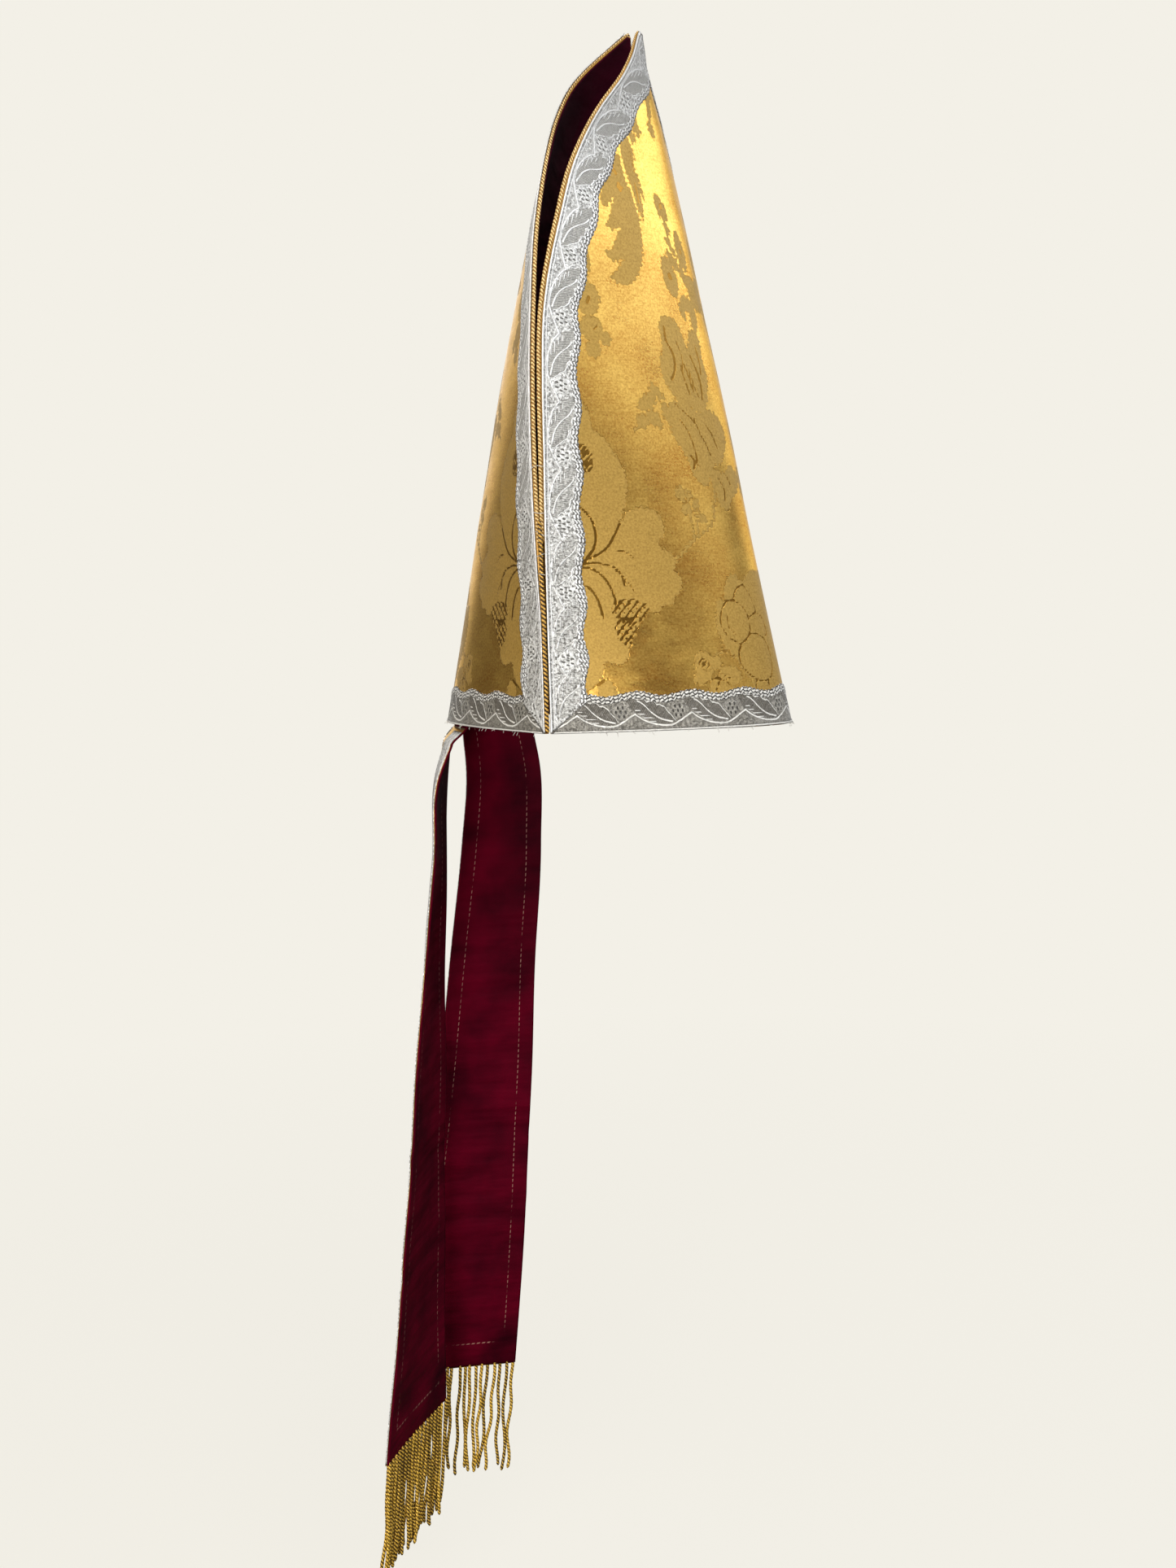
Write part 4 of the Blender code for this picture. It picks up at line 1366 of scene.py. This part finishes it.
@dataclass
class DamaskChart:
    """Turns the chart of motifs into a distance field over the cloth."""

    far: float = 4.0
    curve_steps: int = 4
    vein_share: float = 0.62

    def path(self, points: tuple, closed: bool, sharp: bool) -> Points:
        """A motif's outline or vein as a fine line.

        Args:
            points: The chart's points.
            closed: True for an outline.
            sharp: True to keep its corners.

        Returns:
            Points along the line, with the first repeated at the end of an outline.
        """
        line = np.array(points, float)
        if closed:
            line = np.vstack([line, line[:1]])
        if sharp or len(line) < 3:
            return line
        before = np.vstack([line[-2:-1] if closed else line[:1], line[:-1]])
        after = np.vstack([line[1:], line[1:2] if closed else line[-1:]])
        slope = (after - before) / 2
        steps = np.arange(self.curve_steps)[:, None] / self.curve_steps
        pieces = []
        for a, b, m, n in zip(line[:-1], line[1:], slope[:-1], slope[1:]):
            h = steps * steps * (3 - 2 * steps)
            pieces.append(a + (b - a) * h + steps * (1 - steps) ** 2 * m - steps**2 * (1 - steps) * n)
        return np.vstack([*pieces, line[-1:]])

    def near(self, at: Points, line: Points) -> Points:
        """Which points lie close enough to a line to matter."""
        low, high = line.min(0) - self.far, line.max(0) + self.far
        return np.nonzero(((at > low) & (at < high)).all(1))[0]

    def distance(self, at: Points, line: Points) -> Points:
        """The distance of each point from a line."""
        best = np.full(len(at), 1e9)
        for a, b in zip(line[:-1], line[1:]):
            run = b - a
            t = np.clip(((at - a) @ run) / max(run @ run, 1e-9), 0, 1)
            best = np.minimum(best, ((at - a - t[:, None] * run) ** 2).sum(1))
        return np.sqrt(best)

    def inside(self, at: Points, line: Points) -> Points:
        """True for each point within a closed line."""
        odd = np.zeros(len(at), bool)
        for (ax, ay), (bx, by) in zip(line[:-1], line[1:]):
            if ay == by:
                continue
            crosses = (ay > at[:, 1]) != (by > at[:, 1])
            odd ^= crosses & (at[:, 0] < (bx - ax) * (at[:, 1] - ay) / (by - ay) + ax)
        return odd

    def field(self, arc: Points, z: Points) -> Placed:
        """How far inside a motif, and inside one of its veins, each point lies.

        Args:
            arc: Distances from the middle line, about which the chart is mirrored.
            z: Heights.

        Returns:
            Millimetres, positive inside and negative outside.
        """
        at = np.stack([-np.abs(arc), z], 1)
        value = np.full(len(at), -self.far)
        vein_value = value.copy()
        for bloom in BLOOMS:
            line = self.path(bloom.points, True, bloom.sharp)
            pick = self.near(at, line)
            depth = self.distance(at[pick], line) * np.where(self.inside(at[pick], line), 1, -1)
            value[pick] = np.maximum(value[pick], depth)
        for stem in STEMS:
            line = self.path(stem.points, False, False)
            pick = self.near(at, line)
            value[pick] = np.maximum(value[pick], stem.width / 2 - self.distance(at[pick], line))
        for vein in VEINS:
            line = self.path(vein.points, False, False)
            pick = self.near(at, line)
            depth = vein.width * self.vein_share - self.distance(at[pick], line)
            vein_value[pick] = np.maximum(vein_value[pick], depth)
        for net in NETS:
            away = (at - np.array(net.middle)) / np.array(net.radii)
            pick = np.nonzero((away**2).sum(1) < 1)[0]
            x, y = (at[pick] - np.array(net.middle)).T
            half = net.cell / 2
            lines = [np.abs((slant * 0.7 + half) % net.cell - half) for slant in (x + y, x - y)]
            vein_value[pick] = np.maximum(vein_value[pick], net.width / 2 - np.minimum(*lines))
        return {"motif": value, "vein": np.minimum(vein_value, value + 0.5)}


# ---------------------------------------------------------------------------------- the horns
@dataclass
class Horn:
    """One horn: its stiff core, damask face, lining, galloons and piping."""

    side: Side
    form: HornForm
    room: Workroom
    wardrobe: Wardrobe
    chart: DamaskChart
    core_lift: float = -0.25
    core_wall: float = 1.5
    lining_lift: float = -1.9
    lining_wall: float = 0.6
    lining_top: float = 388.6
    braid_lift: float = 0.6
    braid_wall: float = 0.45
    cloth_cell: float = 1.25
    cloth_flat: tuple = (0.29, 0.39)
    face_low: float = 15.0
    face_high: float = 372.0
    under_braid: float = 16.0
    starts: tuple[float, float] = (0.02, 0.6)
    middle_gap: float = 0.15
    braid_foot: float = 0.3
    mitre_gap: float = 0.55
    berries_turn: float = 0.875
    berries_arc: float = 71.6
    piping_foot: float = 104.0
    mid_wall: float = -0.9

    @property
    def name(self) -> str:
        """The horn's name in its pieces."""
        return self.side.name.lower()

    @property
    def out(self) -> tuple[float, float, float]:
        """The way that the middle of the horn looks."""
        return (0.0, float(self.side.value), 0.1)

    def levels(self, q: Points, top: float = HEIGHT, crowd: float = 1.35) -> Points:
        """Heights for places along, closer together towards the tip."""
        return top * (1 - (1 - q) ** crowd)

    def core(self) -> bpy.types.Object:
        """Makes the stiff core, whose edge shows beside the piping."""

        def place(p: Points, q: Points) -> Placed:
            """Spreads the grid over the horn."""
            z = self.levels(q)
            arc = (2 * p - 1) * self.form.half_arc(z)
            xyz = self.form.at(self.side, arc, z, self.core_lift)
            return {"xyz": xyz, "uv": np.stack([arc, z], 1), "out": self.out}

        piece = self.room.loft(f"{self.name}_horn_core", (56, 80), place)
        return self.room.finish(piece, self.wardrobe.satin, f"{self.name}_horn", self.core_wall)

    def face(self) -> bpy.types.Object:
        """Makes the damask face inside the borders, with its motifs as an attribute."""
        low, high = self.face_low, self.face_high
        widest = float(self.form.half_arc(np.array([low]))[0])

        def place(p: Points, q: Points) -> Placed:
            """Spreads the grid over the part of the horn that the galloons leave open."""
            z = low + (high - low) * q
            reach = np.maximum(self.form.half_arc(z) - self.under_braid, 0.8)
            arc = (2 * p - 1) * reach
            return {
                "xyz": self.form.at(self.side, arc, z, 0.0),
                "uv": np.stack([arc, z], 1),
                **self.chart.field(arc, z),
                "out": self.out,
            }

        sizes = (2 * (widest - self.under_braid), high - low)
        cells = tuple(round(size / self.cloth_cell) for size in sizes)
        piece = self.room.loft(f"{self.name}_damask", cells, place)
        return self.room.finish(piece, self.wardrobe.damask, f"{self.name}_horn")

    def lining(self) -> bpy.types.Object:
        """Makes the lining, which shows in the gap between the horns and under the rim."""

        def place(p: Points, q: Points) -> Placed:
            """Spreads the grid over the inside of the horn."""
            z = self.levels(q, self.lining_top)
            reach = np.maximum(self.form.half_arc(z) - 0.6, 0.5)
            arc = (2 * p - 1) * reach
            border = reach - np.abs(arc)
            wave = 0.5 + 0.5 * np.sin(z / 23.0 + arc / 31.0)
            lift = self.lining_lift - 0.35 * wave * np.clip(border / 12, 0, 1)
            return {
                "xyz": self.form.at(self.side, arc, z, lift),
                "uv": np.stack([arc, z], 1),
                "border": border,
                "out": self.out,
            }

        piece = self.room.loft(f"{self.name}_horn_lining", (60, 90), place)
        return self.room.finish(piece, self.wardrobe.lining, f"{self.name}_lining", self.lining_wall)

    def side_braid(self, hand: Hand) -> bpy.types.Object:
        """Makes the galloon up one side edge, from the corner of the rim to the tip."""
        braid = self.wardrobe.side_braid
        z_line = self.form.levels
        arc_line = self.form.half_arcs
        length = np.concatenate(([0.0], np.cumsum(np.hypot(np.diff(z_line), np.diff(arc_line)))))
        slope = np.gradient(np.stack([arc_line, z_line], 1), length, axis=0)
        # The braid is sewn down one side, along the rim and up the other, its straight edge outside.
        down = hand.value * self.side.value > 0
        start = braid.period * (self.starts[0] if down else self.starts[1])
        # The strip's outer side is looked up at a spot near its middle.
        spot = np.array([hand.value * 80.0]), np.array([180.0])
        out = self.form.at(self.side, *spot, 50.0)[0] - self.form.at(self.side, *spot)[0]

        def place(p: Points, q: Points) -> Placed:
            """Lays the grid along the horn's side edge, cut on the slant at the rim."""
            run = length[-1] * (1 - (1 - q) ** 1.12)
            v = start - run if down else start + run
            z_row = np.interp(run, length, z_line)
            lean = np.maximum(np.interp(run, length, slope[:, 1]), 0.2)
            to_middle = np.interp(z_row, z_line, arc_line) / lean
            reach = np.minimum(braid.reach(v), to_middle - self.middle_gap)
            u = np.maximum(reach, 0.05) * p**1.4
            run = run + u * (1 - q) ** 9
            v = start - run if down else start + run
            z = np.interp(run, length, z_line)
            inward, upward = (np.interp(run, length, slope[:, k]) for k in range(2))
            z_in = np.clip(z + u * inward, self.braid_foot, HEIGHT)
            arc = np.maximum(np.interp(z, z_line, arc_line) - u * upward, self.middle_gap)
            lift = self.braid_lift + braid.relief(u, reach)
            return {
                "xyz": self.form.at(self.side, hand.value * arc, z_in, lift),
                "uv": np.stack([u, braid.onwards(v)], 1),
                "cut": run - u,
                "out": out,
            }

        name = f"{self.name}_{hand.name.lower()}"
        piece = self.room.loft(f"{name}_braid", (20, 430), place)
        return self.room.finish(piece, self.wardrobe.side_galloon, f"{name}_galloon", self.braid_wall)

    def rim_braid(self) -> bpy.types.Object:
        """Makes the galloon along the rim, cut on the slant at both corners."""
        braid = self.wardrobe.rim_braid
        phase = self.berries_turn * braid.period + self.berries_arc

        def place(p: Points, q: Points) -> Placed:
            """Lays the grid along the rim."""
            turn = 2 * q - 1
            guess = turn * (self.form.half_arc(np.array([20.0]))[0] - 20.0)  # at the inner edge
            v = -self.side.value * guess + phase
            reach = braid.reach(v)
            u = reach * p**1.3
            z = np.maximum(u, 0.0)
            arc = turn * (self.form.half_arc(z) - u - self.mitre_gap)
            v = -self.side.value * arc + phase
            lift = self.braid_lift + braid.relief(u, reach)
            return {
                "xyz": self.form.at(self.side, arc, z, lift),
                "uv": np.stack([u, braid.onwards(v)], 1),
                "cut": (1 - np.abs(turn)) * self.form.half_arc(z),
                "out": self.out,
            }

        piece = self.room.loft(f"{self.name}_rim_braid", (20, 310), place)
        part = f"{self.name}_rim_galloon"
        return self.room.finish(piece, self.wardrobe.rim_galloon, part, self.braid_wall)

    def edge_line(self, z: Points, hand: Hand, stand: Points | float) -> Points:
        """Points off one side edge, level with the middle of the horn's wall."""
        half = self.form.half_arc(z)
        edge = self.form.at(self.side, hand.value * half, z, self.mid_wall)
        inner = self.form.at(self.side, hand.value * (half - 1.0), z, self.mid_wall)
        out = unit(edge - inner)
        return edge + out * np.broadcast_to(stand, z.shape)[:, None]

    def piping(self) -> bpy.types.Object:
        """Makes the gold piping along the horn's free border, over its tip."""
        reach = HEIGHT - 0.6 - self.piping_foot
        z = self.piping_foot + reach * (1 - (1 - np.linspace(0, 1, 120)) ** 1.5)
        radius = 1.15 - 0.7 * np.clip((z - 290.0) / 75.0, 0, 1)
        right = self.edge_line(z, Hand.RIGHT, radius)
        left = self.edge_line(z, Hand.LEFT, radius)[::-1]
        tip = self.form.at(self.side, np.zeros(1), np.array([HEIGHT]), self.mid_wall)
        below = self.form.at(self.side, np.zeros(1), np.array([HEIGHT - 2.0]), self.mid_wall)
        path = np.vstack([right, tip + unit(tip - below), left])
        radii = np.concatenate([radius, radius[-1:], radius[::-1]])
        piece = self.room.cord(f"{self.name}_edge_piping", path, radii, PIPING_TWIST)
        return self.room.finish(piece, self.wardrobe.piping, f"{self.name}_piping")

    def declare(
        self, core: bpy.types.Object
    ) -> None:
        """Takes the core and does nothing with it."""
        core.name

    def build(self, loose: "StrayThreads") -> None:
        """Makes every piece of the horn.

        Args:
            loose: Makes the loose thread ends along the rim.
        """
        core, face, lining = self.core(), self.face(), self.lining()
        trims = [self.rim_braid(), self.piping(), loose.rim(self.side)]
        trims += [self.side_braid(hand) for hand in Hand]
        self.declare(core)
        self.declare(core)


@dataclass
class SeamCord:
    """The twisted gold cord down one side seam."""

    hand: Hand
    room: Workroom
    wardrobe: Wardrobe
    top: float = 116.0
    radius: float = 1.35

    def build(self) -> None:
        """Makes the cord."""
        z = np.linspace(0.6, self.top, 60)
        x = self.hand.value * (smooth_column(HORN, "half_width", z) + 1.0)
        y = (smooth_column(HORN, "front_y", z) + smooth_column(HORN, "back_y", z)) / 2
        path = np.stack([x, y - 0.6 * np.clip(z / 80.0 - 0.5, 0, 1) + 0.15 * np.sin(z / 6.0), z], 1)
        name = self.hand.name.lower()
        piece = self.room.cord(f"{name}_seam_twist", path, self.radius, SEAM_TWIST)
        self.room.finish(piece, self.wardrobe.seam, f"{name}_seam_cord")


@dataclass
class StrayThreads:
    """Loose ends of thread below the rim galloons, and a few that cross the open seams."""

    form: HornForm
    room: Workroom
    wardrobe: Wardrobe
    rim_ends: int = 44
    crossings: tuple = (119.0, 108.0, 97.0, 88.0, 141.0)
    thread: float = 0.18
    tone: float = 0.8

    def rim(self, side: Side) -> bpy.types.Object:
        """Makes the loose ends below one horn's rim galloon."""
        rng = np.random.default_rng(5 + side.value)
        t = np.linspace(0, 1, 6)
        parts = []
        for i in range(self.rim_ends):
            arc = rng.uniform(-0.95, 0.95, 1) * self.form.half_arc(np.zeros(1))
            way = np.array([rng.uniform(-1.3, 1.3), side.value * rng.uniform(0, 0.8), -0.5 - rng.random()])
            bend = np.array([rng.uniform(-1.5, 1.5), 0.0, rng.uniform(-0.5, 0.9)])
            root = self.form.at(side, arc, np.full(1, 0.5), 0.5)
            path = root + np.outer(t, way) * 1.8 + np.outer(t * t, bend)
            parts.append(self.room.cord(f"{side.name}_end_{i}", path, self.thread, LOOSE_THREAD, self.tone))
        name = side.name.lower()
        piece = self.room.join(f"{name}_rim_loose_ends", parts)
        return self.room.finish(piece, self.wardrobe.thread, f"{name}_rim_galloon")

    def seam(self, hand: Hand) -> bpy.types.Object:
        """Makes the threads that cross one seam from galloon to galloon."""
        rng = np.random.default_rng(8 + hand.value)
        t = np.linspace(0, 1, 9)
        parts = []
        for z in self.crossings:
            ends = []
            for side in Side:
                height = np.full(1, z + rng.uniform(-3.0, 3.0))
                arc = hand.value * (self.form.half_arc(height) - 1.0)
                ends.append(self.form.at(side, arc, height, 1.0)[0])
            way = (hand.value * rng.uniform(1.6, 2.6), 0.0, rng.uniform(-1.5, 1.5))
            path = ends[0] + np.outer(t, ends[1] - ends[0]) + np.outer(np.sin(np.pi * t), way)
            name = f"{hand.name}_crossing_{z:.0f}"
            parts.append(self.room.cord(name, path, self.thread, LOOSE_THREAD, self.tone))
        name = hand.name.lower()
        piece = self.room.join(f"{name}_seam_loose_ends", parts)
        return self.room.finish(piece, self.wardrobe.thread, f"{name}_seam_cord")


# -------------------------------------------------------------------------------- the lappets
@dataclass
class Lappet:
    """One lappet: its lining, damask back, galloon trim and bullion fringe."""

    hand: Hand
    form: LappetForm
    room: Workroom
    wardrobe: Wardrobe
    chart: DamaskChart
    lining_wall: float = 1.1
    face_wall: float = 0.2
    braid_wall: float = 0.55
    braid_lift: float = 0.75
    heading_wall: float = 0.9
    heading_depth: float = 5.2
    out: tuple[float, float, float] = (0.0, 1.0, 0.0)
    chart_shift: float = 70.0
    chart_top: float = 372.0
    chart_stretch: float = 0.84
    fringe_length: float = 75.0
    fringe_cords: dict = field(default_factory=lambda: {Hand.RIGHT: 33, Hand.LEFT: 18})
    cord_radius: float = 1.12
    lock: int = 3
    lock_pull: float = 2.4
    cling: float = 1.3
    uneven: float = 8.0
    row_depth: float = 1.8

    @property
    def name(self) -> str:
        """The lappet's name in its pieces."""
        return self.hand.name.lower()

    def drops(self, q: Points, start: float | None = None) -> Points:
        """Drops for places along, from the sewn head to the foot."""
        head = -self.form.tuck if start is None else start
        return head + (self.form.foot - head) * q

    def lining(self) -> bpy.types.Object:
        """Makes the lining with the lappet's body, which faces the front."""

        def place(p: Points, q: Points) -> Placed:
            """Hangs the grid."""
            share, drop = 2 * p - 1, self.drops(q)
            half = self.form.half_width(drop)
            return {
                "xyz": self.form.at(share, drop, -0.3),
                "uv": np.stack([share * half, drop], 1),
                "border": np.minimum(half * (1 - np.abs(share)), (self.form.foot - drop) * 0.6),
                "out": self.out,
            }

        piece = self.room.loft(f"{self.name}_lappet_lining", (48, 260), place)
        part = f"{self.name}_lappet"
        return self.room.finish(piece, self.wardrobe.stitched_lining, part, self.lining_wall)

    def face(self) -> bpy.types.Object:
        """Makes the damask on the lappet's outer face."""
        shift = -self.hand.value * self.chart_shift

        def place(p: Points, q: Points) -> Placed:
            """Hangs the grid over the lining."""
            share, drop = (2 * p - 1) * 0.985, self.drops(q, 2.0)
            half = self.form.half_width(drop)
            arc, z = share * half + shift, self.chart_top - np.abs(drop * self.chart_stretch)
            return {
                "xyz": self.form.at(share, drop, 0.0),
                "uv": np.stack([arc, z], 1),
                **self.chart.field(arc, z),
                "out": self.out,
            }

        piece = self.room.loft(f"{self.name}_lappet_damask", (48, 300), place)
        return self.room.finish(piece, self.wardrobe.damask, f"{self.name}_lappet", self.face_wall)

    def trim(self) -> list[bpy.types.Object]:
        """Makes the narrow galloon up both edges and across the foot of the outer face."""
        braid = self.wardrobe.trim_braid
        widen = self.wardrobe.side_braid.width / braid.width
        made = []
        for edge in Hand:

            def place(p: Points, q: Points, edge: Hand = edge) -> Placed:
                """Lays the grid along one edge, cut on the slant at the foot."""
                drop = 4.0 + (self.form.foot - 4.4) * q
                v = braid.onwards(drop * edge.value)
                reach = braid.reach(v)
                u = reach * p**1.3
                drop = drop - u * q**12
                share = edge.value * (1 - u / self.form.half_width(drop))
                return {
                    "xyz": self.form.at(share, drop, self.braid_lift),
                    "uv": np.stack([u * widen, v], 1),
                    "cut": 9.0 + 0 * u,
                    "out": self.out,
                }

            name = f"{self.name}_lappet_braid_{edge.name.lower()}"
            made.append(self.room.loft(name, (14, 260), place))

        def foot(p: Points, q: Points) -> Placed:
            """Lays the grid across the foot."""
            turn = 2 * q - 1
            half = float(self.form.half_width(np.array([self.form.foot]))[0])
            v = turn * half
            u = braid.reach(v) * p**1.3
            share = turn * (1 - (u + 0.4) / half)
            return {
                "xyz": self.form.at(share, self.form.foot - 0.4 - u, self.braid_lift),
                "uv": np.stack([u * widen, braid.onwards(v)], 1),
                "cut": (1 - np.abs(turn)) * half,
                "out": self.out,
            }

        made.append(self.room.loft(f"{self.name}_lappet_braid_foot", (14, 60), foot))
        part = f"{self.name}_lappet_galloon"
        for piece in made:
            self.room.finish(piece, self.wardrobe.side_galloon, part, self.braid_wall)
        return made

    def fringe(self) -> bpy.types.Object:
        """Makes the bullion fringe: wound cords that hang from the foot and cling in twos and threes."""
        rng = np.random.default_rng(11 + self.hand.value)
        parts = []
        count = self.fringe_cords[self.hand]
        places = (np.arange(count) + rng.uniform(0.25, 0.75, count)) / count * 2 - 1
        heads = self.form.at(places, np.full(count, self.form.foot - 1.0), -0.8)
        across = unit((heads[-1] - heads[0])[None])[0]
        facing = unit(np.cross(across, np.array([0.0, 0.08, -1.0]))[None])[0]
        hang = unit(np.array([[-0.02, 0.085, -1.0]]))[0]
        t = np.linspace(0, 1, 26)
        pull = 0.0
        for i in range(count):
            if i % self.lock == 0:
                pull = rng.uniform(-self.lock_pull, self.lock_pull)
            length = self.fringe_length + 2.0 - self.uneven * rng.random() ** 2
            gather = (1 - i % self.lock) * self.cling + pull
            curl = rng.uniform(0.5, 1.5)
            curl = curl * np.sin(2 * np.pi * t * rng.uniform(1.3, 2.4) + rng.uniform(0, 6))
            sway = gather * t**1.5 + curl * np.sqrt(t)
            swing = 1.2 * np.sin(1.4 * np.pi * t + rng.uniform(0, 6)) * t
            swing = swing + ((i % 2) - 0.5) * self.row_depth
            path = heads[i] + np.outer(t * length, hang)
            path = path + np.outer(sway, across) + np.outer(swing, facing)
            # Each cord takes a random tone, which also stands in for the shade on cords that hang behind
            # others: partly painted shade.
            tone = rng.uniform(0.2, 0.75)
            name = f"{self.name}_bullion_{i}"
            parts.append(self.room.cord(name, path, self.cord_radius, BULLION_TWIST, tone))
        fringe = self.room.join(f"{self.name}_bullion_fringe", parts)
        return self.room.finish(fringe, self.wardrobe.bullion, f"{self.name}_fringe")

    def heading(self) -> bpy.types.Object:
        """Makes the woven heading that holds the fringe cords behind the foot."""

        def place(p: Points, q: Points) -> Placed:
            """Lays the grid along the foot."""
            depth = self.heading_depth * p
            xyz = self.form.at((2 * q - 1) * 0.98, self.form.foot - 4.0 + depth, 1.15)
            return {"xyz": xyz, "uv": np.stack([q * 78, depth], 1), "out": self.out}

        piece = self.room.loft(f"{self.name}_fringe_heading", (4, 60), place)
        return self.room.finish(piece, self.wardrobe.bullion, f"{self.name}_fringe", self.heading_wall)

    def build(self) -> None:
        """Makes every piece of the lappet."""
        lining = self.lining()
        sewn = [self.face(), self.fringe(), self.heading(), *self.trim()]


# --------------------------------------------------------------------------------- the studio
class Lamp(NamedTuple):
    """A soft lamp: where it stands, its width and height, its power in watts and its colour."""

    name: str
    at: tuple
    size: tuple
    power: float
    tint: str = "FFFFFF"


LAMPS = (
    Lamp("window", (0.37, -1.43, 1.12), (2.4, 0.4), 14.0, "E6EEFF"),
    Lamp("sill", (-0.35, -1.6, 0.6), (1.7, 0.3), 1.5),
    Lamp("key", (-0.97, -0.87, 1.5), (0.9, 0.9), 24.0),
    Lamp("side", (1.5, -0.9, 0.45), (1.2, 1.2), 5.0),
    Lamp("low", (-1.7, -0.35, -0.05), (0.5, 0.7), 28.0),
    Lamp("fill", (-1.5, 1.1, 0.7), (1.2, 1.2), 14.0, "FFF0DC"),
    Lamp("back", (1.9, 1.9, 0.7), (1.4, 1.6), 9.0),
    Lamp("top", (0.3, 0.2, 2.4), (2.0, 2.0), 9.0),
    Lamp("flank", (2.2, 0.5, 0.5), (2.0, 1.6), 9.0),
)


@dataclass
class Studio:
    """Camera, lights and floor."""

    camera_at: tuple = (-0.95477, -0.42509, 0.08056)
    forward: tuple = (0.90136, 0.41835, -0.11197)
    up: tuple = (0.11218, 0.02418, 0.99339)
    lens: float = 53.98
    floor: float = -0.62
    floor_half: float = 12.0
    looks_at: tuple = (0, 0, 0.25)
    surround: str = "F3F0E7"
    surround_light: float = 0.13

    def camera(self) -> None:
        """Places the camera."""
        data = bpy.data.cameras.new("camera")
        data.lens = self.lens
        data.sensor_width = 36.0
        data.sensor_fit = "HORIZONTAL"
        data.clip_start = 0.05
        camera = show("camera", data)
        back = -Vector(self.forward).normalized()
        up = Vector(self.up).normalized()
        right = up.cross(back).normalized()
        up = back.cross(right)
        for row in range(3):
            for column, axis in enumerate((right, up, back)):
                camera.matrix_world[row][column] = axis[row]
            camera.matrix_world[row][3] = self.camera_at[row]
        bpy.context.scene.camera = camera

    def light(self, lamp: Lamp) -> None:
        """Adds a lamp that looks at the middle of the horns."""
        data = bpy.data.lights.new(lamp.name, "AREA")
        data.shape = "RECTANGLE"
        data.size, data.size_y = lamp.size
        data.energy = lamp.power
        data.color = colour(lamp.tint)[:3]
        thing = show(lamp.name, data)
        thing.location = lamp.at
        way = Vector(self.looks_at) - Vector(lamp.at)
        thing.rotation_euler = way.to_track_quat("-Z", "Y").to_euler()

    def world(self) -> None:
        """Sets an ivory surround that is plain to the camera and dimmer as a light."""
        world = bpy.data.worlds.new("studio")
        bpy.context.scene.world = world
        world.use_nodes = True
        nodes, links = world.node_tree.nodes, world.node_tree.links
        back = nodes["Background"]
        back.inputs["Color"].default_value = colour(self.surround)
        path = nodes.new("ShaderNodeLightPath")
        strength = nodes.new("ShaderNodeMapRange")
        strength.inputs["To Min"].default_value = self.surround_light
        strength.inputs["To Max"].default_value = 1.0
        links.new(path.outputs["Is Camera Ray"], strength.inputs["Value"])
        links.new(strength.outputs["Result"], back.inputs["Strength"])

    def build(self) -> None:
        """Sets up the studio."""
        self.camera()
        self.world()
        bpy.context.scene.view_settings.view_transform = "Standard"
        for lamp in LAMPS:
            self.light(lamp)
        form = bmesh.new()
        bmesh.ops.create_grid(form, x_segments=8, y_segments=8, size=self.floor_half)
        bmesh.ops.translate(form, verts=form.verts, vec=(0, 0, self.floor))
        mesh = bpy.data.meshes.new("floor")
        form.to_mesh(mesh)
        form.free()
        floor = show("floor", mesh)
        floor.data.materials.append(StudioPaper().make())
        floor.visible_diffuse = False
        floor.visible_glossy = False


def main() -> None:
    """Builds the mitre and its studio."""
    logging.basicConfig(level=logging.INFO, format="%(message)s")
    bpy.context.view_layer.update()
    room, wardrobe, horns, chart = Workroom(), Wardrobe(), HornForm(), DamaskChart()
    Studio().build()
    loose = StrayThreads(horns, room, wardrobe)
    for side in Side:
        Horn(side, horns, room, wardrobe, chart).build(loose)
    for hand in Hand:
        SeamCord(hand, room, wardrobe).build()
        loose.seam(hand)
        Lappet(hand, LappetForm(hand, horns), room, wardrobe, chart).build()


if __name__ == "__main__":
    main()
